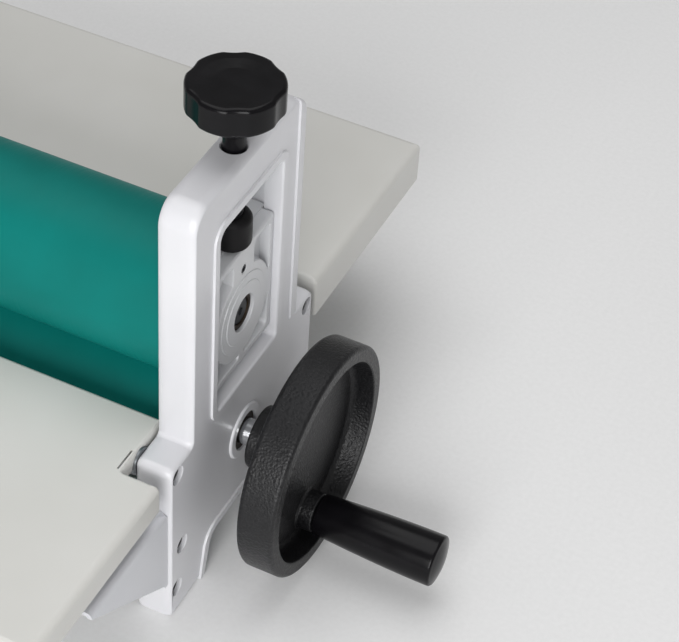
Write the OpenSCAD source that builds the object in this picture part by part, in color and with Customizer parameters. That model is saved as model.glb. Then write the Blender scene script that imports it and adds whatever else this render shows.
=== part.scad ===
/* [Rollers] */
// Outside diameter of both rollers
roller_d = 90; // [80:1:100]
// Length of the rubber cover on each roller
roller_l = 488; // [300:1:700]
// Diameter of the roller journals
journal_d = 16; // [12:0.5:18]
// Gap left at the nip when the upper roller is fully down
nip_gap = 0.3; // [0.2:0.05:1]
// Height of the lower roller axis above the table the press stands on
lower_axis_z = 78; // [74:0.5:84]

/* [Side frames] */
// Thickness of each cast side frame
frame_t = 22; // [20:0.5:28]
// Total height of a side frame
frame_h = 281; // [276:0.5:300]
// Front-to-back width of the upper part of a frame
upper_w = 122; // [116:1:134]
// Front-to-back width of the foot part of a frame
foot_w = 170; // [166:1:190]
// Height of the shoulder where the frame steps in
shoulder_z = 120; // [119.5:0.5:126]
// Width of the window the bearing block slides in
window_w = 70; // [64:1:76]
// Height of the window's lower edge
window_z0 = 124; // [123.5:0.5:126]
// Height of the window's upper edge
window_z1 = 252; // [250:0.5:256]
// Height of the arch between the two feet
arch_h = 28; // [20:0.5:32]

/* [Tables] */
// Height of the tables' top surface
table_z = 122; // [121:0.5:124]
// Reach of the front table from the roller axis
front_reach = 224; // [200:1:300]
// Reach of the rear table from the roller axis
rear_reach = 239; // [200:1:300]
// Distance from the roller axis to each table's roller-side edge
table_edge = 52; // [50:0.5:56]
// Thickness of the table and bracket sheet
sheet = 1.5; // [1:0.1:2]
// Height of the front table's folded skirt
front_skirt = 18; // [14:0.5:24]
// Height of the rear table's folded skirt
rear_skirt = 28; // [22:0.5:30]

/* [Pressure gear] */
// Outside diameter of the two fluted knobs
knob_d = 52; // [46:1:60]
// Height of a knob's top face above the ground at rest
knob_top = 322; // [318:0.5:330]
// Outside diameter of the pressure screws
screw_d = 12; // [10:0.5:13]

/* [Handwheel] */
// Outside diameter of the handwheel
wheel_d = 140; // [126:1:150]
// Width of the handwheel's rim
rim_w = 22.5; // [18:0.5:28]
// Distance from a side frame's outer face to the rim's rear face
wheel_gap = 31.5; // [28:0.5:36]
// Radius at which the revolving grip stands
grip_r = 46.5; // [42:0.5:47]
// Length of the revolving grip
grip_l = 78.5; // [66:0.5:90]
// Diameter of the grip at its free end
grip_d = 31; // [26:0.5:33]

/* [Hidden] */
$fn = 96;
eps = 0.01;
fit = 0.04;
slide_gap = 0.3;
frame_gap = 4;
inner_x = roller_l / 2 + frame_gap;
outer_x = inner_x + frame_t;
mid_x = inner_x + frame_t / 2;
flange_x = inner_x + 8;
roller_r = roller_d / 2;
journal_r = journal_d / 2;
upper_axis_z = lower_axis_z + roller_d + nip_gap;
cover_t = 10;
tube_t = 5;
core_r = roller_r - cover_t;
end_t = 12;
shaft_r = journal_r + 4;
upper_half = upper_w / 2;
foot_half = foot_w / 2;
foot_l = 39;
frame_corner = 14;
shoulder_r = 5;
arch_r = 9;
arch_slope = 6;
window_half = window_w / 2;
rebate_x = outer_x - 10;
rebate_w = 3;
ring_r = 17.2;
bush_r = journal_r + 4.3;
border_y = upper_half - 8.5;
border_z = shoulder_z + 2;
border_rise = 1.3;
screw_r = screw_d / 2;
neck_r = 6.3;
bore_depth = 2;
neck_z = frame_h - bore_depth + slide_gap;
thread_bush_r = 7;
table_half = outer_x;
table_gap = 1.5;
table_inner = inner_x - table_gap;
slit_in = 2.2;
notch_y = foot_half + 11;
rear_notch_y = foot_half + 4.5;
rod_y = 77;
rod_z = 112;
mid_hole_y = 72;
mid_hole_z = 51.5;
low_hole_y = 78;
low_hole_z = 20;
cap_r = 5;
cap_h = 6;
thread_r = 3;
pocket_r = 5.6;
pocket_h = 8.5;
flange_screws_z = [36, 78];
flange_screw_r = 2.5;
rail_screw_r = 2;
rail_screw_in = 10;
beam_y0 = 66;
beam_y1 = 82;
beam_t = 3;
beam_edge = 9;
beam_end = 16;
block_x0 = inner_x + 1;
block_x1 = outer_x - 3;
block_half = window_half - slide_gap;
block_z0 = upper_axis_z - 37.3;
block_z1 = upper_axis_z + 46.7;
flange_step = 1;
boss_r = 19.5;
boss_rise = 1;
step_r = 25;
step_rise = 0.5;
block_rib = 4.5;
pocket_depth = 7;
pocket_clear_r = 30.5;
web_half = 12;
foot_web_half = 3;
pad_r = 11;
pad_h = 22;
pad_top = block_z1 + pad_h;
spigot_r = 5;
spigot_h = 25;
tip_r = 3;
stem_r = 4;
set_z = upper_axis_z + 31.7;
set_r = 2.5;
knob_h = 16;
lobes = 6;
flute_turn = 0;
flute_depth = 1.2;
flute_r = 13;
knob_cone_h = 14;
dish_h = 0.6;
hub_r = 19;
hub_x = outer_x + 10;
rim_x0 = outer_x + wheel_gap;
rim_x1 = rim_x0 + rim_w;
wheel_r = wheel_d / 2;
web_x0 = rim_x0 + 3;
web_t = 6;
web_x1 = web_x0 + web_t;
grip_boss_x = web_x1 + 9.5;
grip_boss_r = 12;
grip_x0 = grip_boss_x + slide_gap;
grip_angle = -88;
bolt_r = 4;
key_half = 2.5;
bore_x = web_x0 + 2;
hub_set_r = 3;
set_x = hub_x + 13;
bracket_t = 3;
bracket_x = outer_x - 2;
bracket_top = 88.5;
bracket_reach = 80;
bracket_low = 28;
rail_x0 = outer_x - 22;
rail_x1 = outer_x - 12;
rail_y0 = foot_half + 14;
rail_y1 = foot_half + 78;
rail_wall = 2;
screw_rows = [rail_x0 + 5, -rail_x0 - 5];
screw_ys = [rail_y0 + rail_screw_in, rail_y1 - rail_screw_in];
slit_l = 16;
slit_w = 1.2;
notch_flange = 10;
rear_arm_low = 30;
rear_arm_high = 90;
rear_arm_x = bracket_x - 4;
rear_arm_y = rail_y1 + 6;
rim_t = 9.5;
grip_nose = 4;
grip_taper = 3.1;
under_z = table_z - sheet;
rod_r = under_z - rod_z;
centre_x = -(grip_x0 + grip_l - mid_x - knob_d / 2) / 2;
centre_y = -(rear_reach - front_reach) / 2;

// Puts a piece drawn about the roller axes over the middle of the whole press.
module placed() translate([centre_x, centre_y, 0]) children();

// Draws a right-hand piece, or its mirror image for the left-hand side.
module side(right) placed() mirror([right ? 0 : 1, 0, 0]) children();

// A cylinder along X from x0 to x1 at the given height.
module rod_x(x0, x1, r, y = 0, z = 0) {
    translate([x0, y, z]) rotate([0, 90, 0]) cylinder(h = x1 - x0, r = r);
}

// A box between two opposite corners.
module box(a, b) translate(a) cube(b - a);

// A plate across X whose outline is drawn as [y, z].
module plate_x(x0, x1) {
    translate([x0, 0, 0]) rotate([90, 0, 90]) linear_extrude(x1 - x0) children();
}

// A rectangle standing on the ground line, with its two upper corners rounded.
module rounded_top(half, height, corner) {
    translate([-half, 0]) square([2 * half, height - corner]);
    translate([corner - half, 0]) square([2 * (half - corner), height]);
    for (s = [-1, 1]) translate([s * (half - corner), height - corner]) circle(r = corner);
}

// Outline of a side frame without its window: foot, shoulder, rounded top and arch.
module frame_outline() {
    arch_half = foot_half - foot_l;
    arch_top = arch_half - arch_slope;
    difference() {
        union() {
            rounded_top(foot_half, shoulder_z, shoulder_r);
            rounded_top(upper_half, frame_h, frame_corner);
        }
        polygon([[-arch_half, -1], [arch_half, -1], [arch_half, 0], [arch_top, arch_h - arch_r],
            [-arch_top, arch_h - arch_r], [-arch_half, 0]]);
        rounded_top(arch_top, arch_h, arch_r);
    }
}

// Hole places of the screws in a side frame, front set; the rear set mirrors it.
hole_places = [[rod_y, rod_z], [mid_hole_y, mid_hole_z], [low_hole_y, low_hole_z]];

module side_frame(right) {
    color("gainsboro") side(right) difference() {
        union() {
            plate_x(inner_x, outer_x) frame_outline();
            plate_x(outer_x - 1, outer_x + border_rise) intersection() {
                frame_outline();
                translate([border_y, border_z]) square([foot_half, frame_h]);
            }
            rod_x(outer_x - 1, outer_x + 1.5, ring_r, 0, lower_axis_z);
        }
        box([inner_x - 1, -window_half - rebate_w, window_z0],
            [rebate_x, window_half + rebate_w, window_z1]);
        box([rebate_x - 1, -window_half, window_z0], [outer_x + 1, window_half, window_z1]);
        rod_x(inner_x - 1, outer_x + 3, bush_r, 0, lower_axis_z);
        translate([mid_x, 0, window_z1 - 1]) cylinder(h = frame_h - window_z1 + 2, r = thread_bush_r);
        for (s = [-1, 1], p = hole_places) {
            rod_x(inner_x - 1, outer_x + 1, thread_r + 0.2, s * p[0], p[1]);
            rod_x(outer_x - pocket_h, outer_x + 1, pocket_r, s * p[0], p[1]);
        }
        for (s = [-1, 1], z = flange_screws_z) {
            translate([flange_x, s * foot_half, z]) rotate([s * 90, 0, 0])
                cylinder(h = 28, r = flange_screw_r, center = true);
        }
    }
}

// A strip between two distances from the roller axis, on the front (-1) or rear (1) side.
module strip(x0, x1, dir, near, far, z0, z1) {
    box([x0, min(dir * near, dir * far), z0], [x1, max(dir * near, dir * far), z1]);
}

// A tray of folded sheet: top, skirts on three sides, notched round the side frames.
// dir is -1 for the front tray and 1 for the rear one.
module tray(dir, reach, notch, skirt) {
    difference() {
        union() {
            strip(-table_half, table_half, dir, notch, reach, under_z, table_z);
            strip(-table_inner, table_inner, dir, table_edge, notch, under_z, table_z);
            for (m = [0, 1]) mirror([m, 0, 0]) {
                strip(table_half - sheet, table_half, dir, notch, reach, table_z - skirt, table_z);
                strip(table_inner - sheet, table_inner, dir, table_edge, notch,
                    table_z - notch_flange, table_z);
            }
            strip(-table_half, table_half, dir, reach - sheet, reach, table_z - skirt, table_z);
            strip(-table_inner, table_inner, dir, table_edge, table_edge + sheet,
                table_z - notch_flange, table_z);
        }
        rod_x(-table_half, table_half, rod_r, dir * rod_y, rod_z);
        for (s = [-1, 1]) {
            translate([s * (table_inner - slit_in - slit_w / 2), dir * (notch - slit_l / 2), table_z])
                cube([slit_w, slit_l, 2 * sheet + 1], center = true);
        }
        for (x = screw_rows, y = screw_ys) {
            translate([x, dir * y, under_z - 1]) cylinder(h = 1.7, r = rail_screw_r + 0.1);
        }
    }
}

module front_table() color("lightgray") placed() tray(-1, front_reach, notch_y, front_skirt);

module rear_table() color("lightgray") placed() tray(1, rear_reach, rear_notch_y, rear_skirt);

// Triangular bracket of bent sheet: web, flange on the frame, flange under the rail.
module front_bracket(right) {
    color("gainsboro") side(right) difference() {
        union() {
            plate_x(bracket_x - bracket_t, bracket_x) polygon([[-foot_half, bracket_low],
                [-foot_half, bracket_top], [-foot_half - bracket_reach, bracket_top],
                [-foot_half - bracket_reach, bracket_top - 4]]);
            box([inner_x, -foot_half - bracket_t, bracket_low], [bracket_x, -foot_half, bracket_top]);
            box([inner_x, -foot_half - bracket_reach, bracket_top - bracket_t],
                [bracket_x, -foot_half, bracket_top]);
        }
        for (z = flange_screws_z) {
            translate([flange_x, -foot_half + 1, z]) rotate([90, 0, 0])
                cylinder(h = bracket_t + 2, r = flange_screw_r + 0.2);
        }
        for (y = screw_ys) {
            translate([screw_rows[0], -y, bracket_top - bracket_t - 1])
                cylinder(h = bracket_t + 2, r = rail_screw_r + 0.2);
        }
    }
}

// Short arm that carries the rear table inside its skirt.
module rear_bracket(right) {
    color("gainsboro") side(right) difference() {
        union() {
            plate_x(rear_arm_x - bracket_t, rear_arm_x) polygon([[foot_half, rear_arm_low + 20],
                [foot_half, under_z], [rear_arm_y, under_z], [rear_arm_y, under_z - 10],
                [foot_half + 10, rear_arm_high + 2], [foot_half + 8, rear_arm_low + 30]]);
            box([inner_x, foot_half, rear_arm_low], [rear_arm_x, foot_half + bracket_t, rear_arm_high]);
            box([inner_x, foot_half, under_z - bracket_t], [rear_arm_x, rear_arm_y, under_z]);
        }
        for (z = flange_screws_z) {
            translate([flange_x, foot_half - 1, z]) rotate([-90, 0, 0])
                cylinder(h = bracket_t + 2, r = flange_screw_r + 0.2);
        }
        for (y = screw_ys) {
            translate([screw_rows[0], y, under_z - bracket_t - 1])
                cylinder(h = bracket_t + 2, r = rail_screw_r + 0.2);
        }
    }
}

// Rectangular tube between the bracket and the front table's underside.
module table_rail(right) {
    color("silver") side(right) difference() {
        box([rail_x0, -rail_y1, bracket_top], [rail_x1, -rail_y0, under_z]);
        box([rail_x0 + rail_wall, -rail_y1 - 1, bracket_top + rail_wall],
            [rail_x1 - rail_wall, -rail_y0 + 1, under_z - rail_wall]);
        for (y = screw_ys) {
            translate([screw_rows[0], -y, bracket_top - 1])
                cylinder(h = under_z - bracket_top + 2, r = rail_screw_r + 0.1);
        }
    }
}

// Round bar between the frames, under a table's roller-side edge.
module tie_rod(dir) {
    color("silver") placed() difference() {
        rod_x(-inner_x, inner_x, rod_r, dir * rod_y, rod_z);
        for (s = [-1, 1]) translate([s * (inner_x - 10), dir * rod_y, rod_z]) rotate([0, 90, 0])
            cylinder(h = 20 + 2 * eps, r = thread_r, center = true);
    }
}

module front_tie_rod() tie_rod(-1);

module rear_tie_rod() tie_rod(1);

// Closed beam between the feet, with a nut plate in each end.
module cross_beam(dir) {
    z0 = low_hole_z - beam_edge;
    z1 = mid_hole_z + beam_edge;
    y0 = min(dir * beam_y0, dir * beam_y1);
    y1 = max(dir * beam_y0, dir * beam_y1);
    color("silver") placed() difference() {
        box([-inner_x, y0, z0], [inner_x, y1, z1]);
        box([-inner_x + beam_end, y0 + beam_t, z0 + beam_t],
            [inner_x - beam_end, y1 - beam_t, z1 - beam_t]);
        for (s = [-1, 1], p = [hole_places[1], hole_places[2]]) {
            translate([s * (inner_x - beam_end / 2), dir * p[0], p[1]]) rotate([0, 90, 0])
                cylinder(h = beam_end + 2 * eps, r = thread_r, center = true);
        }
    }
}

module front_cross_beam() cross_beam(-1);

module rear_cross_beam() cross_beam(1);

// Socket-head cap screw whose head seats at the origin, shank towards -Z.
module cap_screw(r, l, head_r, head_h) {
    difference() {
        union() {
            translate([0, 0, -l]) cylinder(h = l, r = r);
            cylinder(h = head_h, r = head_r);
        }
        translate([0, 0, head_h * 0.45]) cylinder(h = head_h, r = head_r * 0.55, $fn = 6);
    }
}

module frame_screws(right) {
    color("dimgray") side(right) for (s = [-1, 1], p = hole_places) {
        translate([outer_x - pocket_h, s * p[0], p[1]]) rotate([0, 90, 0])
            cap_screw(thread_r, frame_t - pocket_h + beam_end - 5, cap_r, cap_h);
    }
}

// Socket-head screws that hold the brackets to the frames.
module bracket_screws(dir) {
    color("dimgray") for (right = [true, false]) side(right) for (z = flange_screws_z) {
        translate([flange_x, dir * (foot_half + bracket_t), z]) rotate([dir * -90, 0, 0])
            cap_screw(flange_screw_r, 16, 4.5, 4);
    }
}

module bracket_screws_front() bracket_screws(-1);

module bracket_screws_rear() bracket_screws(1);

// Screws up through brackets and rails into each table.
module table_screws() {
    color("dimgray") for (right = [true, false]) side(right) for (y = screw_ys) {
        translate([screw_rows[0], -y, bracket_top - bracket_t]) rotate([180, 0, 0])
            cap_screw(rail_screw_r, under_z + 0.6 - bracket_top + bracket_t, 3.5, 3);
        translate([screw_rows[0], y, under_z - bracket_t]) rotate([180, 0, 0])
            cap_screw(rail_screw_r, bracket_t + 0.6, 3.5, 3);
    }
}

// Plain bearing of the lower roller, with a thrust collar on the inside.
module lower_bush(right) {
    color("darkgray") side(right) difference() {
        union() {
            rod_x(inner_x, outer_x, bush_r, 0, lower_axis_z);
            rod_x(inner_x - 2, inner_x, bush_r + 3, 0, lower_axis_z);
        }
        rod_x(inner_x - 3, outer_x + 1, journal_r + fit, 0, lower_axis_z);
    }
}

// Threaded bush in the frame's top bar that the pressure screw works in.
module thread_bush(right) {
    color("silver") side(right) translate([mid_x, 0, 0]) difference() {
        translate([0, 0, window_z1]) cylinder(h = frame_h - bore_depth - window_z1, r = thread_bush_r);
        translate([0, 0, window_z1 - 1]) cylinder(h = 40, r = screw_r + fit);
    }
}

// Rubber cover of a roller at height z.
module roller_cover(z) {
    color([0.06, 0.5, 0.46]) placed() difference() {
        rod_x(-roller_l / 2, roller_l / 2, roller_r, 0, z);
        rod_x(-roller_l / 2 - 1, roller_l / 2 + 1, core_r, 0, z);
    }
}

// Steel tube under the rubber.
module roller_tube(z) {
    color("silver") placed() difference() {
        rod_x(-roller_l / 2, roller_l / 2, core_r, 0, z);
        rod_x(-roller_l / 2 - 1, roller_l / 2 + 1, core_r - tube_t, 0, z);
    }
}

// End discs that centre the shaft in the tube.
module roller_ends(z) {
    color("silver") placed() for (s = [-1, 1]) {
        x = s * (roller_l / 2 - end_t / 2 - 1);
        difference() {
            rod_x(x - end_t / 2, x + end_t / 2, core_r - tube_t, 0, z);
            rod_x(x - end_t, x + end_t, shaft_r, 0, z);
        }
    }
}

// Stepped shaft: thick between the discs, journals outside, centre marks in the ends.
module roller_shaft(z, x0, x1) {
    color("silver") difference() {
        union() {
            rod_x(x0, x1, journal_r, 0, z);
            rod_x(2 - inner_x + 0.8, inner_x - 2 - 0.8, shaft_r, 0, z);
        }
        translate([x0 - eps, 0, z]) rotate([0, 90, 0]) cylinder(h = 3, r1 = 2.5, r2 = 0.8);
        translate([x1 + eps, 0, z]) rotate([0, -90, 0]) cylinder(h = 3, r1 = 2.5, r2 = 0.8);
    }
}

module lower_roller_cover() roller_cover(lower_axis_z);

module lower_roller_tube() roller_tube(lower_axis_z);

module lower_roller_ends() roller_ends(lower_axis_z);

module lower_roller_shaft() {
    placed() difference() {
        roller_shaft(lower_axis_z, -outer_x + 1, bore_x - 1);
        key_shape();
    }
}

module upper_roller_cover() roller_cover(upper_axis_z);

module upper_roller_tube() roller_tube(upper_axis_z);

module upper_roller_ends() roller_ends(upper_axis_z);

module upper_roller_shaft() placed() roller_shaft(upper_axis_z, -block_x1 + 1.5, block_x1 - 1.5);

// Feather key between shaft and handwheel.
module key_shape() {
    box([hub_x + 6, -key_half, lower_axis_z + journal_r - 3],
        [hub_x + 24, key_half, lower_axis_z + journal_r + 2]);
}

module wheel_key() color("dimgray") placed() key_shape();

// Dished handwheel with a solid web, turned profile as [radius, distance from hub face].
module handwheel() {
    color([0.1, 0.1, 0.11]) placed() difference() {
        translate([hub_x, 0, lower_axis_z]) rotate([0, 90, 0]) rotate_extrude() {
            polygon([[0, bore_x - hub_x], [journal_r + fit, bore_x - hub_x], [journal_r + fit, 0],
                [hub_r, 0], [hub_r, web_x0 - hub_x - 5],
                [hub_r + 9, web_x0 - hub_x], [wheel_r - rim_t - 1, web_x0 - hub_x],
                [wheel_r - rim_t + 1, rim_x0 - hub_x], [wheel_r - 3, rim_x0 - hub_x],
                [wheel_r, rim_x0 - hub_x + 3], [wheel_r, rim_x1 - hub_x - 4],
                [wheel_r - 4, rim_x1 - hub_x], [wheel_r - rim_t + 1, rim_x1 - hub_x],
                [wheel_r - rim_t, rim_x1 - hub_x - 1], [wheel_r - rim_t - 2, web_x1 - hub_x],
                [0, web_x1 - hub_x]]);
        }
        box([hub_x - 1, -key_half, lower_axis_z], [bore_x, key_half, lower_axis_z + journal_r + 2]);
        rotate_about_wheel() rod_x(web_x0 - 1, web_x1 + 1, bolt_r);
        translate([set_x, 0, lower_axis_z + journal_r]) cylinder(h = hub_r, r = hub_set_r);
    }
    color([0.1, 0.1, 0.11]) placed() rotate_about_wheel() difference() {
        rod_x(web_x1 - 1, grip_boss_x, grip_boss_r);
        rod_x(web_x1 - 2, grip_boss_x + 1, bolt_r);
    }
}

// Carries its children to the place of the grip.
module rotate_about_wheel() {
    translate([0, grip_r * cos(grip_angle), lower_axis_z + grip_r * sin(grip_angle)]) children();
}

// Socket set screw in the hub that bears on the key.
module wheel_screw() {
    color("dimgray") placed() translate([set_x, 0, lower_axis_z + journal_r + 2]) difference() {
        cylinder(h = hub_r - journal_r - 3, r = hub_set_r);
        translate([0, 0, hub_r - journal_r - 6]) cylinder(h = 4, r = hub_set_r / 2, $fn = 6);
    }
}

// Shouldered bolt that the grip turns on, with a nut behind the web and a plug end.
module grip_bolt() {
    color("silver") placed() rotate_about_wheel() {
        rod_x(web_x0 - 5, grip_x0 + grip_l - 8, bolt_r);
        rod_x(web_x0 - 5, web_x0, 6.5);
        rod_x(grip_x0 + grip_l - 12, grip_x0 + grip_l - 8, 6.5);
    }
}

// Revolving grip, thicker towards its rounded free end.
module hand_grip() {
    base_r = grip_d / 2 - grip_taper;
    end_r = grip_d / 2;
    color([0.08, 0.08, 0.09]) placed() rotate_about_wheel() translate([grip_x0, 0, 0]) rotate([0, 90, 0])
        difference() {
            rotate_extrude() {
                polygon([[0, 0], [base_r, 0], [base_r, 6], [end_r, grip_l - grip_nose],
                    [0, grip_l - grip_nose]]);
                translate([0, grip_l - grip_nose]) intersection() {
                    square([end_r, grip_nose]);
                    circle_arc(end_r, grip_nose);
                }
            }
            translate([0, 0, -1]) cylinder(h = grip_l - 12 - slide_gap + 1, r = bolt_r + 0.08);
            translate([0, 0, grip_l - 12 - slide_gap]) cylinder(h = 4 + 2 * slide_gap, r = 6.5 + slide_gap);
        }
}

// Quarter of an arc of the given half width and height, for a domed end.
module circle_arc(w, h) {
    r = (w * w + h * h) / (2 * h);
    translate([0, h - r]) circle(r = r);
}

// Sliding bearing block: stepped guide, round boss, ribs and pockets on its outer face.
module bearing_block(right) {
    floor_x = block_x1 - pocket_depth;
    color("whitesmoke") side(right) difference() {
        union() {
            box([block_x0, -block_half - rebate_w, block_z0], [rebate_x - slide_gap,
                block_half + rebate_w, block_z1 + flange_step]);
            box([rebate_x - slide_gap - 1, -block_half, block_z0], [block_x1, block_half, block_z1]);
            rod_x(block_x1 - 1, block_x1 + step_rise, step_r, 0, upper_axis_z);
            rod_x(block_x1 - 1, block_x1 + boss_rise, boss_r, 0, upper_axis_z);
        }
        difference() {
            box([floor_x, -block_half + block_rib, block_z0 + block_rib],
                [block_x1 + 1, block_half - block_rib, block_z1 - block_rib]);
            rod_x(floor_x - 1, block_x1 + 2, pocket_clear_r, 0, upper_axis_z);
            box([floor_x - 1, -web_half, upper_axis_z], [block_x1 + 2, web_half, block_z1]);
            box([floor_x - 1, -foot_web_half, block_z0], [block_x1 + 2, foot_web_half, upper_axis_z]);
        }
        rod_x(block_x0 - 1, block_x1 + 2, bush_r - 1, 0, upper_axis_z);
        translate([mid_x, 0, block_z1 - spigot_h]) cylinder(h = spigot_h + 10, r = spigot_r);
        translate([mid_x, 0, block_z1]) cylinder(h = 10, r = pad_r + 0.5);
        rod_x(mid_x, block_x1 + 1, set_r, 0, set_z);
    }
}

module upper_bush(right) {
    color([0.35, 0.3, 0.25]) side(right) difference() {
        union() {
            rod_x(block_x0, block_x1 - 1, bush_r - 1, 0, upper_axis_z);
            rod_x(block_x0 - 2, block_x0, bush_r + 2, 0, upper_axis_z);
        }
        rod_x(block_x0 - 3, block_x1, journal_r + fit, 0, upper_axis_z);
    }
}

// Black pressure pad standing on the block; its spigot is pinned by the set screw.
module pressure_pad(right) {
    color([0.08, 0.07, 0.08]) side(right) translate([mid_x, 0, block_z1]) difference() {
        union() {
            cylinder(h = pad_h - 2, r = pad_r);
            translate([0, 0, pad_h - 2]) cylinder(h = 2, r1 = pad_r, r2 = pad_r - 2);
            translate([0, 0, -spigot_h + 0.5]) cylinder(h = spigot_h, r = spigot_r);
        }
        translate([0, 0, pad_h - 8]) cylinder(h = 10, r = screw_r + fit);
        translate([0, 0, -10]) cylinder(h = pad_h + 4, r = tip_r + fit);
    }
}

// Short socket set screw that pins the pad's spigot in the block.
module pad_set_screw(right) {
    set_x1 = block_x1 - 0.2;
    color("dimgray") side(right) difference() {
        rod_x(mid_x + spigot_r, set_x1, set_r, 0, set_z);
        translate([set_x1 - 1.5, 0, set_z]) rotate([0, 90, 0]) cylinder(h = 3, r = 1.4, $fn = 6);
    }
}

// Pressure screw: threaded shank, plain tip that turns in the pad, end inside the knob.
module pressure_screw(right) {
    shank_z = pad_top - 8 + slide_gap;
    color("dimgray") side(right) translate([mid_x, 0, 0]) {
        translate([0, 0, shank_z]) cylinder(h = neck_z - shank_z, r = screw_r);
        translate([0, 0, pad_top - 30]) cylinder(h = 26, r = tip_r);
        translate([0, 0, neck_z]) cylinder(h = knob_top - 5 - neck_z, r = stem_r);
    }
}

// Fluted knob with six lobes, a shallow dished top and a tapered underside.
module knob(right) {
    r = knob_d / 2;
    color([0.07, 0.07, 0.08]) side(right) translate([mid_x, 0, 0]) difference() {
        union() {
            translate([0, 0, knob_top - knob_h]) cylinder(h = knob_h - 3, r = r);
            translate([0, 0, knob_top - 3]) cylinder(h = 3, r1 = r, r2 = r - 3);
            translate([0, 0, knob_top - knob_h - knob_cone_h])
                cylinder(h = knob_cone_h, r1 = neck_r + 3, r2 = r - 1);
            translate([0, 0, neck_z]) cylinder(h = knob_top - knob_h - neck_z, r = neck_r);
        }
        for (a = [flute_turn : 360 / lobes : flute_turn + 359]) rotate([0, 0, a])
            translate([r + flute_r - flute_depth, 0, knob_top - knob_h - 10])
                cylinder(h = knob_h + 20, r = flute_r);
        translate([0, 0, knob_top - dish_h]) cylinder(h = dish_h + 1, r1 = r - 12, r2 = r - 6);
        translate([0, 0, neck_z - 1]) cylinder(h = knob_top - 4 - neck_z, r = stem_r);
    }
}

side_frame(true);  // side_frame_right
side_frame(false);  // side_frame_left
front_table();
rear_table();
front_bracket(true);  // front_bracket_right
front_bracket(false);  // front_bracket_left
rear_bracket(true);  // rear_bracket_right
rear_bracket(false);  // rear_bracket_left
table_rail(true);  // table_rail_right
table_rail(false);  // table_rail_left
front_tie_rod();
rear_tie_rod();
front_cross_beam();
rear_cross_beam();
frame_screws(true);  // frame_screws_right
frame_screws(false);  // frame_screws_left
bracket_screws_front();
bracket_screws_rear();
table_screws();
lower_bush(true);  // lower_bush_right
lower_bush(false);  // lower_bush_left
thread_bush(true);  // thread_bush_right
thread_bush(false);  // thread_bush_left
lower_roller_cover();
lower_roller_tube();
lower_roller_ends();
lower_roller_shaft();
handwheel();
wheel_key();
wheel_screw();
grip_bolt();
hand_grip();
bearing_block(true);  // bearing_block_right
bearing_block(false);  // bearing_block_left
upper_bush(true);  // upper_bush_right
upper_bush(false);  // upper_bush_left
pressure_pad(true);  // pressure_pad_right
pressure_pad(false);  // pressure_pad_left
pad_set_screw(true);  // pad_set_screw_right
pad_set_screw(false);  // pad_set_screw_left
upper_roller_cover();
upper_roller_tube();
upper_roller_ends();
upper_roller_shaft();
pressure_screw(true);  // pressure_screw_right
pressure_screw(false);  // pressure_screw_left
knob(true);  // knob_right
knob(false);  // knob_left
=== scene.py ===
import math

import bmesh
import bpy
from mathutils import Matrix, Vector
from mathutils.geometry import tessellate_polygon


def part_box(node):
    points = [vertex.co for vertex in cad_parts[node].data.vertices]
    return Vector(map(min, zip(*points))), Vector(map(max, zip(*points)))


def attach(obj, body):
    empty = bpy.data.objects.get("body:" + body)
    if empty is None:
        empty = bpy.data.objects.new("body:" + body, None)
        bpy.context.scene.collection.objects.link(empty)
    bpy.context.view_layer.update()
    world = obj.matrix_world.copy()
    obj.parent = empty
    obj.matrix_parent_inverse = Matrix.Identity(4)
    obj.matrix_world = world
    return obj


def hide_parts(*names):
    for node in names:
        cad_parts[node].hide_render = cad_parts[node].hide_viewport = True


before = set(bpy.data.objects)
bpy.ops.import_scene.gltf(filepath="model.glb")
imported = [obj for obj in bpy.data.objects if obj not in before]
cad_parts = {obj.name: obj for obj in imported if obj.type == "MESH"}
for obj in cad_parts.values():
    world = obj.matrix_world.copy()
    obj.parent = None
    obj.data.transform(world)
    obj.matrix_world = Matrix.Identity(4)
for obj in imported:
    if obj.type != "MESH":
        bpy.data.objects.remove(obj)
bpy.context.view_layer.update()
mm = 0.001
print("stage: frame loaded")


def middleOf(node):
    low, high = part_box(node)
    return (Vector(low) + Vector(high)) / 2


# Every piece is set out from the press's own middle, the two roller axes and the right-hand frame.
lowerMid = middleOf("lower_roller_cover")
upperMid = middleOf("upper_roller_cover")
pressX, pressY = lowerMid.x, lowerMid.y
lowerZ, upperZ = lowerMid.z, upperMid.z
frameLow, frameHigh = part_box("side_frame_right")
blockLow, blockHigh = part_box("bearing_block_right")
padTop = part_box("pressure_pad_right")[1][2]
ringHeight = 1.5 * mm
innerX = frameLow[0] - pressX
outerX = frameHigh[0] - pressX - ringHeight
frameTop = frameHigh[2]
footHalf = (frameHigh[1] - frameLow[1]) / 2
midX = middleOf("pressure_pad_right").x - pressX


# Colours and node helpers for the finishes

def toLinear(hexColour):
    channels = [int(hexColour[i:i + 2], 16) / 255 for i in (1, 3, 5)]
    return [c / 12.92 if c <= 0.04045 else ((c + 0.055) / 1.055) ** 2.4 for c in channels] + [1.0]


def addNode(tree, kind, settings=None, inputs=None):
    node = tree.nodes.new(kind)
    for name, value in (settings or {}).items():
        setattr(node, name, value)
    for name, value in (inputs or {}).items():
        if isinstance(value, bpy.types.NodeSocket):
            tree.links.new(value, node.inputs[name])
        else:
            node.inputs[name].default_value = value
    return node


def newMaterial(name, settings):
    # A clean Principled material with its fixed values set on the shader's own sockets
    material = bpy.data.materials.new(name)
    material.use_nodes = True
    tree = material.node_tree
    tree.nodes.clear()
    place = addNode(tree, "ShaderNodeTexCoord").outputs["Object"]
    shader = addNode(tree, "ShaderNodeBsdfPrincipled", inputs=settings)
    addNode(tree, "ShaderNodeOutputMaterial", inputs={"Surface": shader.outputs["BSDF"]})
    return material, tree, place, shader


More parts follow.
